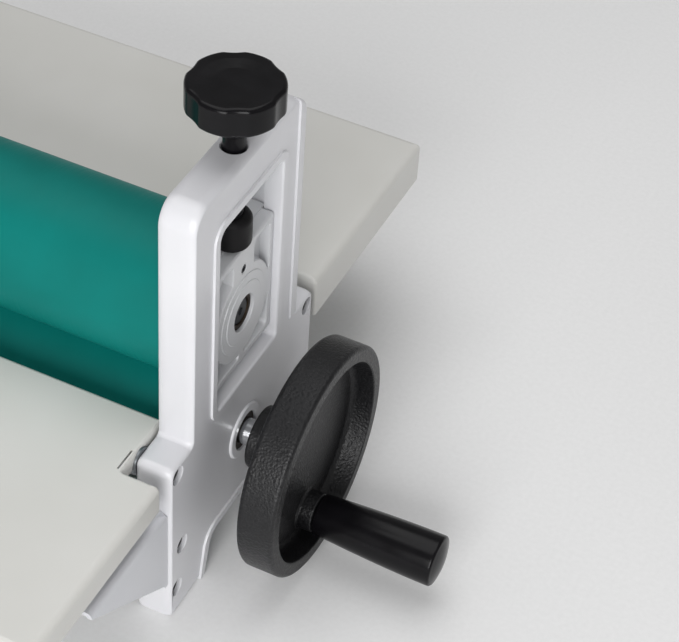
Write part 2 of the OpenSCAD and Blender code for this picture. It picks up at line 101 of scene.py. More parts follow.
def noiseField(tree, place, sizeMm, detail=3.0, rough=0.5, stretch=(1, 1, 1)):
    # Cloudy 0 to 1 field whose blotches are about sizeMm across
    mapped = addNode(tree, "ShaderNodeMapping", inputs={"Vector": place, "Scale": stretch})
    return addNode(tree, "ShaderNodeTexNoise", inputs={
        "Vector": mapped.outputs["Vector"], "Scale": 1000 / sizeMm, "Detail": detail,
        "Roughness": rough}).outputs["Fac"]


def blend(tree, factor, first, second):
    # Mixes two hex colours by a field
    ramp = addNode(tree, "ShaderNodeValToRGB", inputs={"Fac": factor})
    ramp.color_ramp.elements[0].color = toLinear(first)
    ramp.color_ramp.elements[0].position = 0.3
    ramp.color_ramp.elements[1].color = toLinear(second)
    ramp.color_ramp.elements[1].position = 0.7
    return ramp.outputs["Color"]


def between(tree, field, low, high):
    return addNode(tree, "ShaderNodeMapRange", inputs={
        "Value": field, "From Min": 0.3, "From Max": 0.7, "To Min": low, "To Max": high}).outputs["Result"]


def connect(tree, shader, colour=None, roughness=None, height=None, depthMm=0.1, strength=1.0, under=None):
    if colour is not None:
        tree.links.new(colour, shader.inputs["Base Color"])
    if roughness is not None:
        tree.links.new(roughness, shader.inputs["Roughness"])
    if height is None:
        return None
    bump = addNode(tree, "ShaderNodeBump", inputs={
        "Height": height, "Distance": depthMm * mm, "Strength": strength})
    if under is not None:
        tree.links.new(under, bump.inputs["Normal"])
    tree.links.new(bump.outputs["Normal"], shader.inputs["Normal"])
    return bump.outputs["Normal"]


def powderCoat(name, light, shade, roughness, peelMm, peelDepthMm):
    # Baked polyester powder: an even, faintly pebbled skin with a soft sheen over the metal
    material, tree, place, shader = newMaterial(name, {
        "IOR": 1.5, "Coat Weight": 0.18, "Coat Roughness": 0.18})
    cloud = noiseField(tree, place, 70, 2)
    peel = noiseField(tree, place, peelMm, 2, 0.4)
    fine = noiseField(tree, place, peelMm * 0.3, 2)
    lower = connect(tree, shader, blend(tree, cloud, shade, light),
                    between(tree, fine, roughness - 0.05, roughness + 0.06), peel, peelDepthMm, 0.5)
    connect(tree, shader, height=fine, depthMm=peelDepthMm * 0.25, strength=0.35, under=lower)
    return material


def siliconeRubber(name):
    # Ground silicone sleeve: saturated teal, satin, with very fine grinding rings round the roller
    material, tree, place, shader = newMaterial(name, {
        "IOR": 1.43, "Specular IOR Level": 0.16})
    cloud = noiseField(tree, place, 45, 3)
    rings = noiseField(tree, place, 1.1, 3, 0.6, (1, 0.02, 0.02))
    grain = noiseField(tree, place, 0.5, 2)
    lower = connect(tree, shader, blend(tree, cloud, "#06726B", "#087B74"),
                    between(tree, rings, 0.42, 0.54), rings, 0.03, 0.35)
    connect(tree, shader, height=grain, depthMm=0.02, strength=0.3, under=lower)
    return material


def chromedSteel(name):
    # Hard chrome over ground steel: mirror bright with hair-fine rings left by the grinder
    material, tree, place, shader = newMaterial(name, {
        "Metallic": 1.0, "Base Color": toLinear("#D9DBDD")})
    rings = noiseField(tree, place, 0.6, 3, 0.6, (1, 0.03, 0.03))
    connect(tree, shader, roughness=between(tree, rings, 0.1, 0.2), height=rings, depthMm=0.01, strength=0.4)
    return material


def zincPlate(name):
    # Bright zinc plating on rolled steel: grey-blue, slightly clouded, dulled by handling
    material, tree, place, shader = newMaterial(name, {"Metallic": 1.0})
    cloud = noiseField(tree, place, 14, 5, 0.6)
    grain = noiseField(tree, place, 0.8, 3, 0.6, (0.1, 1, 1))
    connect(tree, shader, blend(tree, cloud, "#75797D", "#8E9194"),
            between(tree, cloud, 0.34, 0.48), grain, 0.02, 0.35)
    return material


def blackOxide(name):
    # Blackened, oiled steel: nearly black metal with a dull gleam on its edges
    material, tree, place, shader = newMaterial(name, {"Metallic": 0.85})
    cloud = noiseField(tree, place, 4, 4, 0.6)
    connect(tree, shader, blend(tree, cloud, "#232427", "#3A3B3E"),
            between(tree, cloud, 0.34, 0.48), cloud, 0.02, 0.4)
    return material


def sinteredBronze(name):
    # Oil-filled sintered bronze: brown metal, matt from its open pores
    material, tree, place, shader = newMaterial(name, {"Metallic": 0.9})
    pores = noiseField(tree, place, 0.9, 4, 0.7)
    connect(tree, shader, blend(tree, pores, "#2C2620", "#463A2C"),
            between(tree, pores, 0.42, 0.6), pores, 0.05, 0.6)
    return material


def wrinkleFinish(name):
    # Black wrinkle enamel baked on cast iron: tiny worm-like folds that sparkle on the rim
    material, tree, place, shader = newMaterial(name, {"IOR": 1.5, "Specular IOR Level": 0.4})
    folds = noiseField(tree, place, 1.7, 4, 0.62)
    pits = addNode(tree, "ShaderNodeTexVoronoi", {"feature": "SMOOTH_F1"}, {
        "Vector": place, "Scale": 1000 / 1.5, "Smoothness": 0.5}).outputs["Distance"]
    height = addNode(tree, "ShaderNodeMath", {"operation": "ADD"}, {0: folds, 1: pits}).outputs["Value"]
    connect(tree, shader, blend(tree, folds, "#0D0D0F", "#1C1C1E"),
            between(tree, folds, 0.34, 0.5), height, 0.3, 0.75)
    return material


def mouldedPhenolic(name):
    # Compression-moulded phenolic: deep glossy black, a little flow in the polish
    material, tree, place, shader = newMaterial(name, {
        "IOR": 1.5, "Specular IOR Level": 0.2})
    flow = noiseField(tree, place, 16, 3)
    grain = noiseField(tree, place, 1.0, 2)
    lower = connect(tree, shader, blend(tree, flow, "#0A090B", "#0F0E11"),
                    between(tree, flow, 0.2, 0.28), flow, 0.08, 0.3)
    connect(tree, shader, height=grain, depthMm=0.004, strength=0.3, under=lower)
    return material


def mouldedRubber(name):
    # Moulded natural rubber pad: matt black with a dusty bloom
    material, tree, place, shader = newMaterial(name, {"IOR": 1.52, "Specular IOR Level": 0.2})
    bloom = noiseField(tree, place, 7, 4)
    grain = noiseField(tree, place, 0.7, 3)
    connect(tree, shader, blend(tree, bloom, "#0C0B0C", "#121113"),
            between(tree, bloom, 0.42, 0.58), grain, 0.05, 0.4)
    return material


def studioPaper(name):
    # Seamless background paper: white, quite matt
    material, tree, place, shader = newMaterial(name, {"IOR": 1.4, "Specular IOR Level": 0.15})
    fibre = noiseField(tree, place, 3, 4)
    connect(tree, shader, blend(tree, fibre, "#F6F6F6", "#FAFAFA"), between(tree, fibre, 0.75, 0.85),
            fibre, 0.03, 0.2)
    return material


finish = {
    "frame_paint": powderCoat("powderCoatedCasting", "#E2E2E5", "#DCDCE0", 0.34, 3.2, 0.06),
    # block_paint is a little darker than frame_paint: painted shade, standing for the frame's shadow over the
    # block recessed in its window
    "block_paint": powderCoat("powderCoatedBlockPaintedShade", "#D3D4D6", "#CDCED1", 0.33, 2.6, 0.05),
    "table_paint": powderCoat("powderCoatedTable", "#DDDCD8", "#D8D7D2", 0.42, 1.6, 0.035),
    "bracket_paint": powderCoat("powderCoatedBracket", "#DFE0E4", "#D9DADF", 0.38, 2.0, 0.04),
    "roller_rubber": siliconeRubber("groundSiliconeRubber"),
    "turned_steel": chromedSteel("chromedShaftSteel"),
    "plain_steel": zincPlate("zincPlatedSteel"),
    "screw_steel": blackOxide("blackOxideSteel"),
    "bush_bronze": sinteredBronze("sinteredBushBronze"),
    "wheel_coat": wrinkleFinish("wrinkleEnamelledIron"),
    "knob_plastic": mouldedPhenolic("mouldedBlackPhenolic"),
    "pad_rubber": mouldedRubber("mouldedPadRubber"),
}
print("stage: finishes made")


# Mesh helpers

def roundedOutline(corners, inset=0.0, steps=8):
    # Counter-clockwise corners (u, v, radius, share) in metres. Inset moves every edge inwards by that
    # much, times the share given with the corner the edge starts from (1 when left out)
    points = []
    count = len(corners)
    shares = [corner[3] if len(corner) > 3 else 1.0 for corner in corners]
    for i, corner in enumerate(corners):
        radius = corner[2]
        before = Vector(corners[i - 1][:2])
        here = Vector(corner[:2])
        after = Vector(corners[(i + 1) % count][:2])
        inward, outward = (here - before).normalized(), (after - here).normalized()
        leftIn = Vector((-inward.y, inward.x))
        stepIn, stepOut = inset * shares[i - 1], inset * shares[i]
        bendSine = inward.cross(outward)
        if abs(bendSine) < 1e-5:
            tip = here + leftIn * stepIn
        else:
            tip = here + (outward * stepIn - inward * stepOut) / bendSine
        if radius == 0:
            points.append(tip)
            continue
        turn = math.atan2(bendSine, inward.dot(outward))
        side = 1 if turn > 0 else -1
        bend = max(radius - side * (stepIn + stepOut) / 2, 0.05 * mm)
        start = tip - inward * bend * math.tan(abs(turn) / 2)
        centre = start + leftIn * bend * side
        for k in range(steps + 1):
            swing = Matrix.Rotation(turn * k / steps, 2)
            points.append(centre + swing @ (start - centre))
    return points


def roundHole(u, v, radius, inset=0.0, steps=48):
    # Circle outline, also counter-clockwise
    return [Vector((u + (radius - inset) * math.cos(a), v + (radius - inset) * math.sin(a)))
            for a in (2 * math.pi * k / steps for k in range(steps))]


def edgeLevels(face, inwards, radius, steps=5):
    # Heights and insets of a quarter-round edge, from the flat face down its side
    levels = []
    for k in range(steps + 1):
        angle = math.pi / 2 * k / steps
        levels.append((face + inwards * radius * (1 - math.cos(angle)), radius * (1 - math.sin(angle))))
    return levels


def plateMesh(chains, toWorld):
    # Closes a plate from chains of loops. The first chain is the rim, the rest are holes.
    # chain = (outline(inset) -> points, [(height, inset), ...], blind?), top face first
    mesh = bmesh.new()
    tops, bottoms = [], []
    for outline, levels, blind in chains:
        loops = []
        for height, inset in levels:
            points = outline(inset)
            loops.append([mesh.verts.new(toWorld(p[0], p[1], height(p) if callable(height) else height))
                          for p in points])
        for upper, lower in zip(loops, loops[1:]):
            size = len(upper)
            for k in range(size):
                mesh.faces.new((upper[k], upper[(k + 1) % size], lower[(k + 1) % size], lower[k]))
        tops.append((outline(levels[0][1]), loops[0]))
        if blind:
            capFaces(mesh, [(outline(levels[-1][1]), loops[-1])])
        else:
            bottoms.append((outline(levels[-1][1]), loops[-1]))
    capFaces(mesh, tops)
    capFaces(mesh, bottoms)
    return mesh


def capFaces(mesh, rings):
    verts = [v for points, loop in rings for v in loop]
    flat = [[Vector((p[0], p[1], 0)) for p in points] for points, loop in rings]
    for a, b, c in tessellate_polygon(flat):
        mesh.faces.new((verts[a], verts[b], verts[c]))


def turnedMesh(outline, toWorld, segments=96):
    # Turns a closed outline of (along, radius) points about the along axis
    mesh = bmesh.new()
    rings = []
    for k in range(segments):
        angle = 2 * math.pi * k / segments
        cosine, sine = math.cos(angle), math.sin(angle)
        rings.append([mesh.verts.new(toWorld(along, max(reach, 0) * cosine, max(reach, 0) * sine))
                      for along, reach in outline])
    size = len(outline)
    for k in range(segments):
        here, after = rings[k], rings[(k + 1) % segments]
        for j in range(size):
            if outline[j][1] <= 0 and outline[(j + 1) % size][1] <= 0:
                continue
            mesh.faces.new((here[j], here[(j + 1) % size], after[(j + 1) % size], after[j]))
    return mesh


def joined(*parts):
    # Several meshes made one
    whole = bmesh.new()
    for part in parts:
        data = bpy.data.meshes.new("part")
        part.to_mesh(data)
        part.free()
        whole.from_mesh(data)
        bpy.data.meshes.remove(data)
    return whole


def toObject(name, mesh, slotName, sharpAngle=32):
    # Cleans a mesh, points its faces outwards and gives it its finish
    bmesh.ops.remove_doubles(mesh, verts=mesh.verts, dist=0.002 * mm)
    bmesh.ops.dissolve_degenerate(mesh, edges=mesh.edges, dist=0.001 * mm)
    bmesh.ops.recalc_face_normals(mesh, faces=mesh.faces)
    data = bpy.data.meshes.new(name)
    mesh.to_mesh(data)
    mesh.free()
    data.polygons.foreach_set("use_smooth", [True] * len(data.polygons))
    data.set_sharp_from_angle(angle=math.radians(sharpAngle))
    piece = bpy.data.objects.new(name, data)
    bpy.context.scene.collection.objects.link(piece)
    data.materials.append(finish[slotName])
    piece["slotName"] = slotName
    return piece


def applied(piece, weighted=True):
    # Turns the piece and its modifiers into one plain mesh
    if weighted:
        shading = piece.modifiers.new("evenShading", "WEIGHTED_NORMAL")
        shading.keep_sharp = True
    bpy.context.view_layer.update()
    graph = bpy.context.evaluated_depsgraph_get()
    data = bpy.data.meshes.new_from_object(piece.evaluated_get(graph))
    piece.modifiers.clear()
    piece.data = data
    if not data.materials or data.materials[0] is None:
        data.materials.clear()
        data.materials.append(finish[piece["slotName"]])
    return piece


def place(piece, body, *nodes):
    # Rides on its body and stands for its CAD nodes, which it hides
    del piece["slotName"]
    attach(piece, body)
    if nodes:
        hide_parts(*nodes)
    return piece


def cutBy(piece, cutterMesh):
    # Takes a cutter's shape out of a piece
    data = bpy.data.meshes.new("cutter")
    bmesh.ops.remove_doubles(cutterMesh, verts=cutterMesh.verts, dist=0.002 * mm)
    bmesh.ops.recalc_face_normals(cutterMesh, faces=cutterMesh.faces)
    cutterMesh.to_mesh(data)
    cutterMesh.free()
    cutter = bpy.data.objects.new("cutter", data)
    bpy.context.scene.collection.objects.link(cutter)
    cut = piece.modifiers.new("cut", "BOOLEAN")
    cut.operation, cut.solver, cut.object = "DIFFERENCE", "EXACT", cutter
    applied(piece, weighted=False)
    bpy.data.objects.remove(cutter)
    return piece


def alongX(side, y=0.0, z=0.0):
    # (along, u, v) drawn from the press middle; side is 1 on the right and -1 on the left
    return lambda along, u, v: Vector((pressX + side * along, pressY + y + u, z + v))


def alongZ(side, x, y=0.0):
    return lambda along, u, v: Vector((pressX + side * (x + u), pressY + y + v, along))


def acrossX(side):
    # Plates whose outline is drawn as (y, z) and whose thickness runs along X
    return lambda u, v, height: Vector((pressX + side * height, pressY + u, v))


def acrossZ():
    # Plates whose outline is drawn as (x, y) and whose thickness runs along Z
    return lambda u, v, height: Vector((pressX + u, pressY + v, height))


def softened(name, nodes, width, slotName, body, segments=2, fold=0.0, relief=None):
    # A CAD node's shape with its edges broken, as a folded or sawn piece has them. Fold is the outside
    # radius of the sheet's bend along its outer top edge, relief the y and z where a corner is cut away
    mesh = bmesh.new()
    for node in nodes:
        mesh.from_mesh(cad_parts[node].data)
    bmesh.ops.remove_doubles(mesh, verts=mesh.verts, dist=0.002 * mm)
    bmesh.ops.dissolve_limit(mesh, angle_limit=math.radians(1), verts=mesh.verts, edges=mesh.edges)
    if fold:
        top = max(v.co.z for v in mesh.verts)
        reach = max(abs(v.co.x - pressX) for v in mesh.verts)
        bends = [e for e in mesh.edges if all(
            v.co.z > top - 0.1 * mm and abs(v.co.x - pressX) > reach - 0.1 * mm for v in e.verts)]
        bmesh.ops.bevel(mesh, geom=bends, offset=fold, segments=6, profile=0.5, affect="EDGES")
    piece = toObject(name, mesh, slotName)
    if relief:
        block = bmesh.new()
        bmesh.ops.create_cube(block, size=1, matrix=Matrix.Translation(
            (pressX, relief[0] - 0.05, relief[1] + 0.05)) @ Matrix.Diagonal((2, 0.1, 0.1, 1)))
        cutBy(piece, block)
    bevel = piece.modifiers.new("edges", "BEVEL")
    bevel.width, bevel.segments = width, segments
    bevel.limit_method, bevel.angle_limit = "ANGLE", math.radians(40)
    return place(applied(piece), body, *nodes)


# Side frames: cast plates with round edges, a window, an arch and sunk screw holes

sideFrame = {
    "outerRound": 6.0 * mm,      # fillet round the outer face
    "innerRound": 6.0 * mm,      # fillet round the inner face
    "holeRound": 0.5 * mm,       # broken edge of the sunk screw holes
    "topCorner": 14 * mm,
    "upperHalf": 61 * mm,
    "shoulderZ": 120 * mm,
    "archHalf": 46 * mm,
    "archTopHalf": 39 * mm,
    "archHeight": 28 * mm,
    "archCorner": 9 * mm,
    "windowHalf": 35 * mm,
    "windowLow": 124 * mm,
    "windowHigh": 252 * mm,
    "rebate": 3 * mm,            # how much wider the window is on the inside
    "rebateX": 10 * mm,          # its depth behind the outer face
    "ringRadius": 17.2 * mm,
    "shaftHole": 12.3 * mm,
    "sunkRadius": 5.5 * mm,
    "sunkDepth": 8.5 * mm,
    # how much of the fillet the upright, shoulder, top, sole and arch edges of the rim take
    "rimShares": (0.35, 0.4, 0.5, 0.4, 0.7),
    "borderWidth": 8.5 * mm,     # raised strip along the upper rear edge
    "borderRise": 1.3 * mm,
    "borderFoot": 2 * mm,        # its lower end above the shoulder
    "borderRound": 2.2 * mm,
    "beadWidth": 6 * mm,         # raised beads round the window and over the arch
    "beadRound": 1.4 * mm,
    "screwBore": 7 * mm,
    "holePlaces": [(77, 112), (72, 51.5), (78, 20)],    # y and z of the rim screws, in millimetres
}


def frameRim(inset):
    s = sideFrame
    half = footHalf
    upright, shoulder, top, sole, arch = s["rimShares"]
    rear = [(s["archHalf"], 0, 1.5 * mm, sole), (half, 0, 1.5 * mm, upright),
            (half, s["shoulderZ"], 5 * mm, shoulder), (s["upperHalf"], s["shoulderZ"], 2.5 * mm, upright),
            (s["upperHalf"], frameTop, s["topCorner"], top)]
    front = [(-s["upperHalf"], frameTop, s["topCorner"], upright),
             (-s["upperHalf"], s["shoulderZ"], 2.5 * mm, shoulder), (-half, s["shoulderZ"], 5 * mm, upright),
             (-half, 0, 1.5 * mm, sole), (-s["archHalf"], 0, 1.5 * mm, arch)]
    below = [(-s["archTopHalf"], s["archHeight"], s["archCorner"], arch),
             (s["archTopHalf"], s["archHeight"], s["archCorner"], arch)]
    return roundedOutline(rear + front + below, inset)


def windowRim(inset):
    s = sideFrame
    half, low, high = s["windowHalf"], s["windowLow"], s["windowHigh"]
    return roundedOutline([(-half, low, 2.5 * mm), (half, low, 2.5 * mm), (half, high, 3 * mm),
                           (-half, high, 6 * mm)], inset)


def archRim(inset):
    # The bead over the arch: out along its far side and back along the arch itself
    s = sideFrame
    foot, top, high, wide = s["archHalf"], s["archTopHalf"], s["archHeight"], s["beadWidth"]
    bend, sole = s["archCorner"], 0.4 * mm
    return roundedOutline([
        (foot, sole, 0, 0.1), (foot + wide, sole, 0, 0.2), (top + wide, high + wide, bend + wide, 0.2),
        (-top - wide, high + wide, bend + wide, 0.2), (-foot - wide, sole, 0, 0.1), (-foot, sole, 0),
        (-top, high, bend), (top, high, bend)], inset + 0.02 * mm)


def borderRim(inset):
    # The strip follows the frame's rounded top corner, drawn point by point
    s = sideFrame
    edge, foot, bend = s["upperHalf"] - s["borderWidth"], s["shoulderZ"] + s["borderFoot"], s["topCorner"]
    last = math.acos((edge - s["upperHalf"] + bend) / bend)
    arc = [(s["upperHalf"] - bend + bend * math.cos(a), frameTop - bend + bend * math.sin(a), 0)
           for a in (last * k / 12 for k in range(13))]
    corners = [(edge, foot, 0, 0.5), (s["upperHalf"], foot, 0.6 * mm)] + arc[:-1] + [arc[-1] + (0.15,)]
    return roundedOutline(corners, inset + 0.02 * mm, 3)


def buildSideFrame(side, suffix):
    s = sideFrame
    inside = [(x, inset) for x, inset in reversed(edgeLevels(innerX, 1, s["innerRound"]))]
    rim = edgeLevels(outerX, -1, s["outerRound"]) + inside
    ledge = outerX - s["rebateX"]
    lip = [(outerX, 0), (ledge, 0), (ledge, -s["rebate"])]
    lip += [(x, -inset - s["rebate"]) for x, inset in reversed(edgeLevels(innerX, 1, 2 * mm, 3))]
    bore = [(outerX, 0), (innerX, 0)]
    chains = [(frameRim, rim, False), (windowRim, lip, False),
              (lambda inset: roundHole(0, lowerZ, s["shaftHole"], inset), bore, False)]
    for sign in (-1, 1):
        for u, v in s["holePlaces"]:
            sunk = [(x, -inset) for x, inset in edgeLevels(outerX, -1, s["holeRound"], 3)]
            sunk += [(outerX - s["sunkDepth"], 0)]
            chains.append((lambda inset, u=sign * u * mm, v=v * mm: roundHole(
                u, v, s["sunkRadius"], inset, 32), sunk, True))
    plate = plateMesh(chains, acrossX(side))
    ring = turnedMesh(roundedOutline([
        (outerX - 0.5 * mm, s["shaftHole"], 0), (outerX + ringHeight, s["shaftHole"], 0.5 * mm),
        (outerX + ringHeight, s["ringRadius"], 1.2 * mm), (outerX - 0.5 * mm, s["ringRadius"] + 0.6 * mm, 0)],
        steps=4), alongX(side, 0, lowerZ), 96)
    crest, buried = outerX + s["borderRise"], [(outerX - 1 * mm, 0)]
    crestEdge = edgeLevels(crest, -1, s["beadRound"], 4)
    around = [(x, 0.25 * inset) for x, inset in crestEdge]
    within = [(x, -inset) for x, inset in crestEdge]
    bead = plateMesh([
        (lambda inset: windowRim(inset - s["beadWidth"]), around + buried, False),
        (lambda inset: windowRim(inset + 0.02 * mm), within + buried, False)], acrossX(side))
    archBead = plateMesh([(archRim, crestEdge + buried, False)], acrossX(side))
    stripEdge = edgeLevels(crest, -1, s["borderRound"], 4) + [(outerX - 3 * mm, 0)]
    border = plateMesh([(borderRim, stripEdge, False)], acrossX(side))
    piece = toObject("sideFrame" + suffix, plate, "frame_paint")
    hole = s["screwBore"]
    bored = turnedMesh([Vector(p) for p in (
        (frameTop + 1 * mm, 0), (frameTop + 1 * mm, hole + 1.8 * mm), (frameTop - 0.8 * mm, hole),
        (s["windowHigh"] - 2 * mm, hole), (s["windowHigh"] - 2 * mm, 0))], alongZ(side, midX), 48)
    cutBy(piece, bored)
    whole = bmesh.new()
    whole.from_mesh(piece.data)
    bpy.data.objects.remove(piece)
    piece = toObject("sideFrame" + suffix, joined(whole, ring, border, bead, archBead), "frame_paint")
    return place(applied(piece), "frame", "side_frame_" + suffix.lower())


for side, suffix in ((1, "Right"), (-1, "Left")):
    buildSideFrame(side, suffix)
print("stage: side frames")


# Feed tables: folded trays with rounded bends, notched round the frames

trays = {
    "sheet": 1.5 * mm,
    "bend": 4.2 * mm,            # outside radius of the folds
    "corner": 2.2 * mm,
    "frameGap": 1.5 * mm,
    "slitIn": 2.8 * mm,          # middle of the slit from the edge beside the frame
    # how much of the bend the edges beside the frame, at the notch, side, far end and roller take
    "shares": (0.45, 0.6, 1.2, 1.0, 0.6),
    "flange": 10 * mm,           # depth of the folds beside the frames and the roller
    "slitLength": 16 * mm,
    "slitWidth": 1.2 * mm,
}


def buildTray(name, node, sign, skirt):
    t = trays
    low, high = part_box(node)
    half = (high[0] - low[0]) / 2
    top = high[2]
    near = min(abs(low[1] - pressY), abs(high[1] - pressY))
    far = max(abs(low[1] - pressY), abs(high[1] - pressY))
    inner = innerX - t["frameGap"]
    notch = footHalf + (11 * mm if sign < 0 else 4.5 * mm)
    corner = t["corner"]
    beside, across, flank, end, mouth = t["shares"]
    ring = [(inner, near, 1.2 * mm, beside), (inner, notch, 1.0 * mm, across), (half, notch, corner, flank),
            (half, far, corner, end), (-half, far, corner, flank), (-half, notch, corner, across),
            (-inner, notch, 1.0 * mm, beside), (-inner, near, 1.2 * mm, mouth)]
    if sign < 0:
        ring = [(u, -v, r, ring[i - 1][3]) for i, (u, v, r, _) in enumerate(ring)][::-1]

    def rim(inset):
        return roundedOutline(ring, inset, 5)

    def hem(point):
        beside = abs(point[0]) < inner + 1 * mm and abs(point[1]) < notch + 2.5 * mm
        return top - (t["flange"] if beside else skirt)

    outside = edgeLevels(top, -1, t["bend"], 4) + [(hem, 0), (hem, t["sheet"])]
    inside = [(top - t["bend"], t["sheet"]), (top - t["sheet"] - 0.3 * mm, t["sheet"] + 0.3 * mm),
              (top - t["sheet"], t["bend"])]
    chains = [(rim, outside + inside, False)]
    for s in (-1, 1):
        slitY = sign * (notch - t["slitLength"] / 2)
        slitX = s * (inner - t["slitIn"])
        a, b = t["slitWidth"] / 2, t["slitLength"] / 2
        slot = [(slitX - a, slitY - b, a), (slitX + a, slitY - b, a), (slitX + a, slitY + b, a),
                (slitX - a, slitY + b, a)]
        chains.append((lambda inset, slot=slot: roundedOutline(slot, inset, 3),
                       [(top, 0), (top - t["sheet"], 0)], False))
    piece = toObject(name, plateMesh(chains, acrossZ()), "table_paint")
    return place(applied(piece), "frame", node)


buildTray("frontTable", "front_table", -1, 18 * mm)
buildTray("rearTable", "rear_table", 1, 28 * mm)
print("stage: tables")


# Brackets, rails, rods and beams under the tables

for side in ("right", "left"):
    softened("frontBracket" + side.title(), ["front_bracket_" + side], 0.7 * mm, "bracket_paint", "frame", 3,
             3.6 * mm)
    softened("rearBracket" + side.title(), ["rear_bracket_" + side], 0.9 * mm, "bracket_paint", "frame", 3,
             relief=(pressY + footHalf + 7 * mm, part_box("rear_table")[1][2] - 18 * mm))
    softened("tableRail" + side.title(), ["table_rail_" + side], 0.7 * mm, "plain_steel", "frame")
for end in ("front", "rear"):
    softened(end + "CrossBeam", [end + "_cross_beam"], 1.2 * mm, "plain_steel", "frame")


def turnedPiece(name, node, corners, side, y, z, slotName, body, segments=96, steps=4):
    # A turned piece about an axis parallel to the rollers
    mesh = turnedMesh(roundedOutline(corners, steps=steps), alongX(side, y, z), segments)
    return place(applied(toObject(name, mesh, slotName)), body, node)


rod = {"chamfer": 0.8 * mm}
for end in ("front", "rear"):
    low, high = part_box(end + "_tie_rod")
    radius, reach = (high[2] - low[2]) / 2, (high[0] - low[0]) / 2
    middle = middleOf(end + "_tie_rod")
    turnedPiece(end + "TieRod", end + "_tie_rod",
                [(-reach, 0, 0), (reach, 0, 0), (reach, radius, rod["chamfer"]),
                 (-reach, radius, rod["chamfer"])],
                1, middle.y - pressY, middle.z, "plain_steel", "frame", 64)
print("stage: brackets and rods")


# Rollers: rubber sleeves, steel tubes, end discs and stepped shafts

roller = {
    "edgeRound": 1.2 * mm,
    "cover": 10 * mm,
    "tube": 5 * mm,
    "discDepth": 12 * mm,
    "shaftRadius": 12 * mm,
    "journalRadius": 8 * mm,
    "journalStart": 2.8 * mm,    # thick part ends this far inside the frame
}


def buildRoller(name, z, body):
    r = roller
    low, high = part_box(name + "_roller_cover")
    reach, outer = (high[0] - low[0]) / 2, (high[2] - low[2]) / 2
    core = outer - r["cover"]
    wall = core - r["tube"]
    turnedPiece(name + "RollerCover", name + "_roller_cover",
                [(-reach, core, 0), (reach, core, 0), (reach, outer, r["edgeRound"]),
                 (-reach, outer, r["edgeRound"])], 1, 0, z, "roller_rubber", body, 160, 5)
    turnedPiece(name + "RollerTube", name + "_roller_tube",
                [(-reach, wall, 0.6 * mm), (reach, wall, 0.6 * mm), (reach, core, 0), (-reach, core, 0)],
                1, 0, z, "plain_steel", body, 128)
    ends = name + "_roller_ends"
    discMid = middleOf(ends)
    discLow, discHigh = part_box(ends)
    discReach = (discHigh[0] - discLow[0]) / 2
    discBack = discReach - r["discDepth"]
    disc = roundedOutline([
        (discBack, r["shaftRadius"], 0), (discReach, r["shaftRadius"], 0.8 * mm),
        (discReach, wall, 0.8 * mm), (discBack, wall, 0)], steps=3)
    discs = [turnedMesh(disc, alongX(s, discMid.y - pressY, z)) for s in (-1, 1)]
    place(applied(toObject(name + "RollerEnds", joined(*discs), "plain_steel")), body, ends)


def buildShaft(name, z, body, slotName):
    r = roller
    low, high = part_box(name + "_roller_shaft")
    left, right = low[0] - pressX, high[0] - pressX
    thick, thin = r["shaftRadius"], r["journalRadius"]
    step = innerX - r["journalStart"]
    corners = [(left + 3 * mm, 0, 0), (right - 3 * mm, 0, 0), (right, 2.5 * mm, 0), (right, thin, 1 * mm),
               (step, thin, 0.5 * mm), (step, thick, 0.8 * mm), (-step, thick, 0.8 * mm),
               (-step, thin, 0.5 * mm), (left, thin, 1 * mm), (left, 2.5 * mm, 0)]
    turnedPiece(name + "RollerShaft", name + "_roller_shaft", corners, 1, 0, z, slotName, body, 72, 3)


buildRoller("lower", lowerZ, "lower_roller")
buildRoller("upper", upperZ, "upper_roller")
buildShaft("lower", lowerZ, "lower_roller", "turned_steel")
buildShaft("upper", upperZ, "upper_roller", "screw_steel")
print("stage: rollers")


# Bushes of both shafts, and the threaded bushes in the frames' top bars

bush = {
    "bore": 8.1 * mm,
    "lowerRadius": 12.3 * mm,
    "upperRadius": 11.3 * mm,
    "lead": 0.8 * mm,            # rounded mouth of the bore
    "collar": 2 * mm,
    "threadBore": 6.04 * mm,
}


def buildBush(name, node, side, z, radius, body):
    low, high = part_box(node)
    reach = sorted((abs(low[0] - pressX), abs(high[0] - pressX)))
    collar, collarEnd = (high[2] - low[2]) / 2, reach[0] + bush["collar"]
    turnedPiece(name, node, [
        (reach[0], bush["bore"], 0.3 * mm), (reach[1], bush["bore"], bush["lead"]),
        (reach[1], radius, 0.6 * mm), (collarEnd, radius, 0), (collarEnd, collar, 0.4 * mm),
        (reach[0], collar, 0.4 * mm)], side, 0, z, "bush_bronze", body, 72, 3)


def buildThreadBush(side, suffix):
    node = "thread_bush_" + suffix.lower()
    low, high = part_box(node)
    outer = (high[0] - low[0]) / 2 - 0.02 * mm
    corners = [(low[2], bush["threadBore"], 0), (high[2], bush["threadBore"], 0.4 * mm),
               (high[2], outer, 0.3 * mm), (low[2], outer, 0)]
    mesh = turnedMesh(roundedOutline(corners, steps=3), alongZ(side, midX), 64)
    place(applied(toObject("threadBush" + suffix, mesh, "plain_steel")), "frame", node)


for side, suffix in ((1, "Right"), (-1, "Left")):
    lowerName = suffix.lower()
    buildBush("lowerBush" + suffix, "lower_bush_" + lowerName, side, lowerZ, bush["lowerRadius"], "frame")
    buildBush("upperBush" + suffix, "upper_bush_" + lowerName, side, upperZ, bush["upperRadius"], "carriage")
    buildThreadBush(side, suffix)
print("stage: bushes")


# Bearing blocks: ribbed castings with a round boss, sliding in the windows

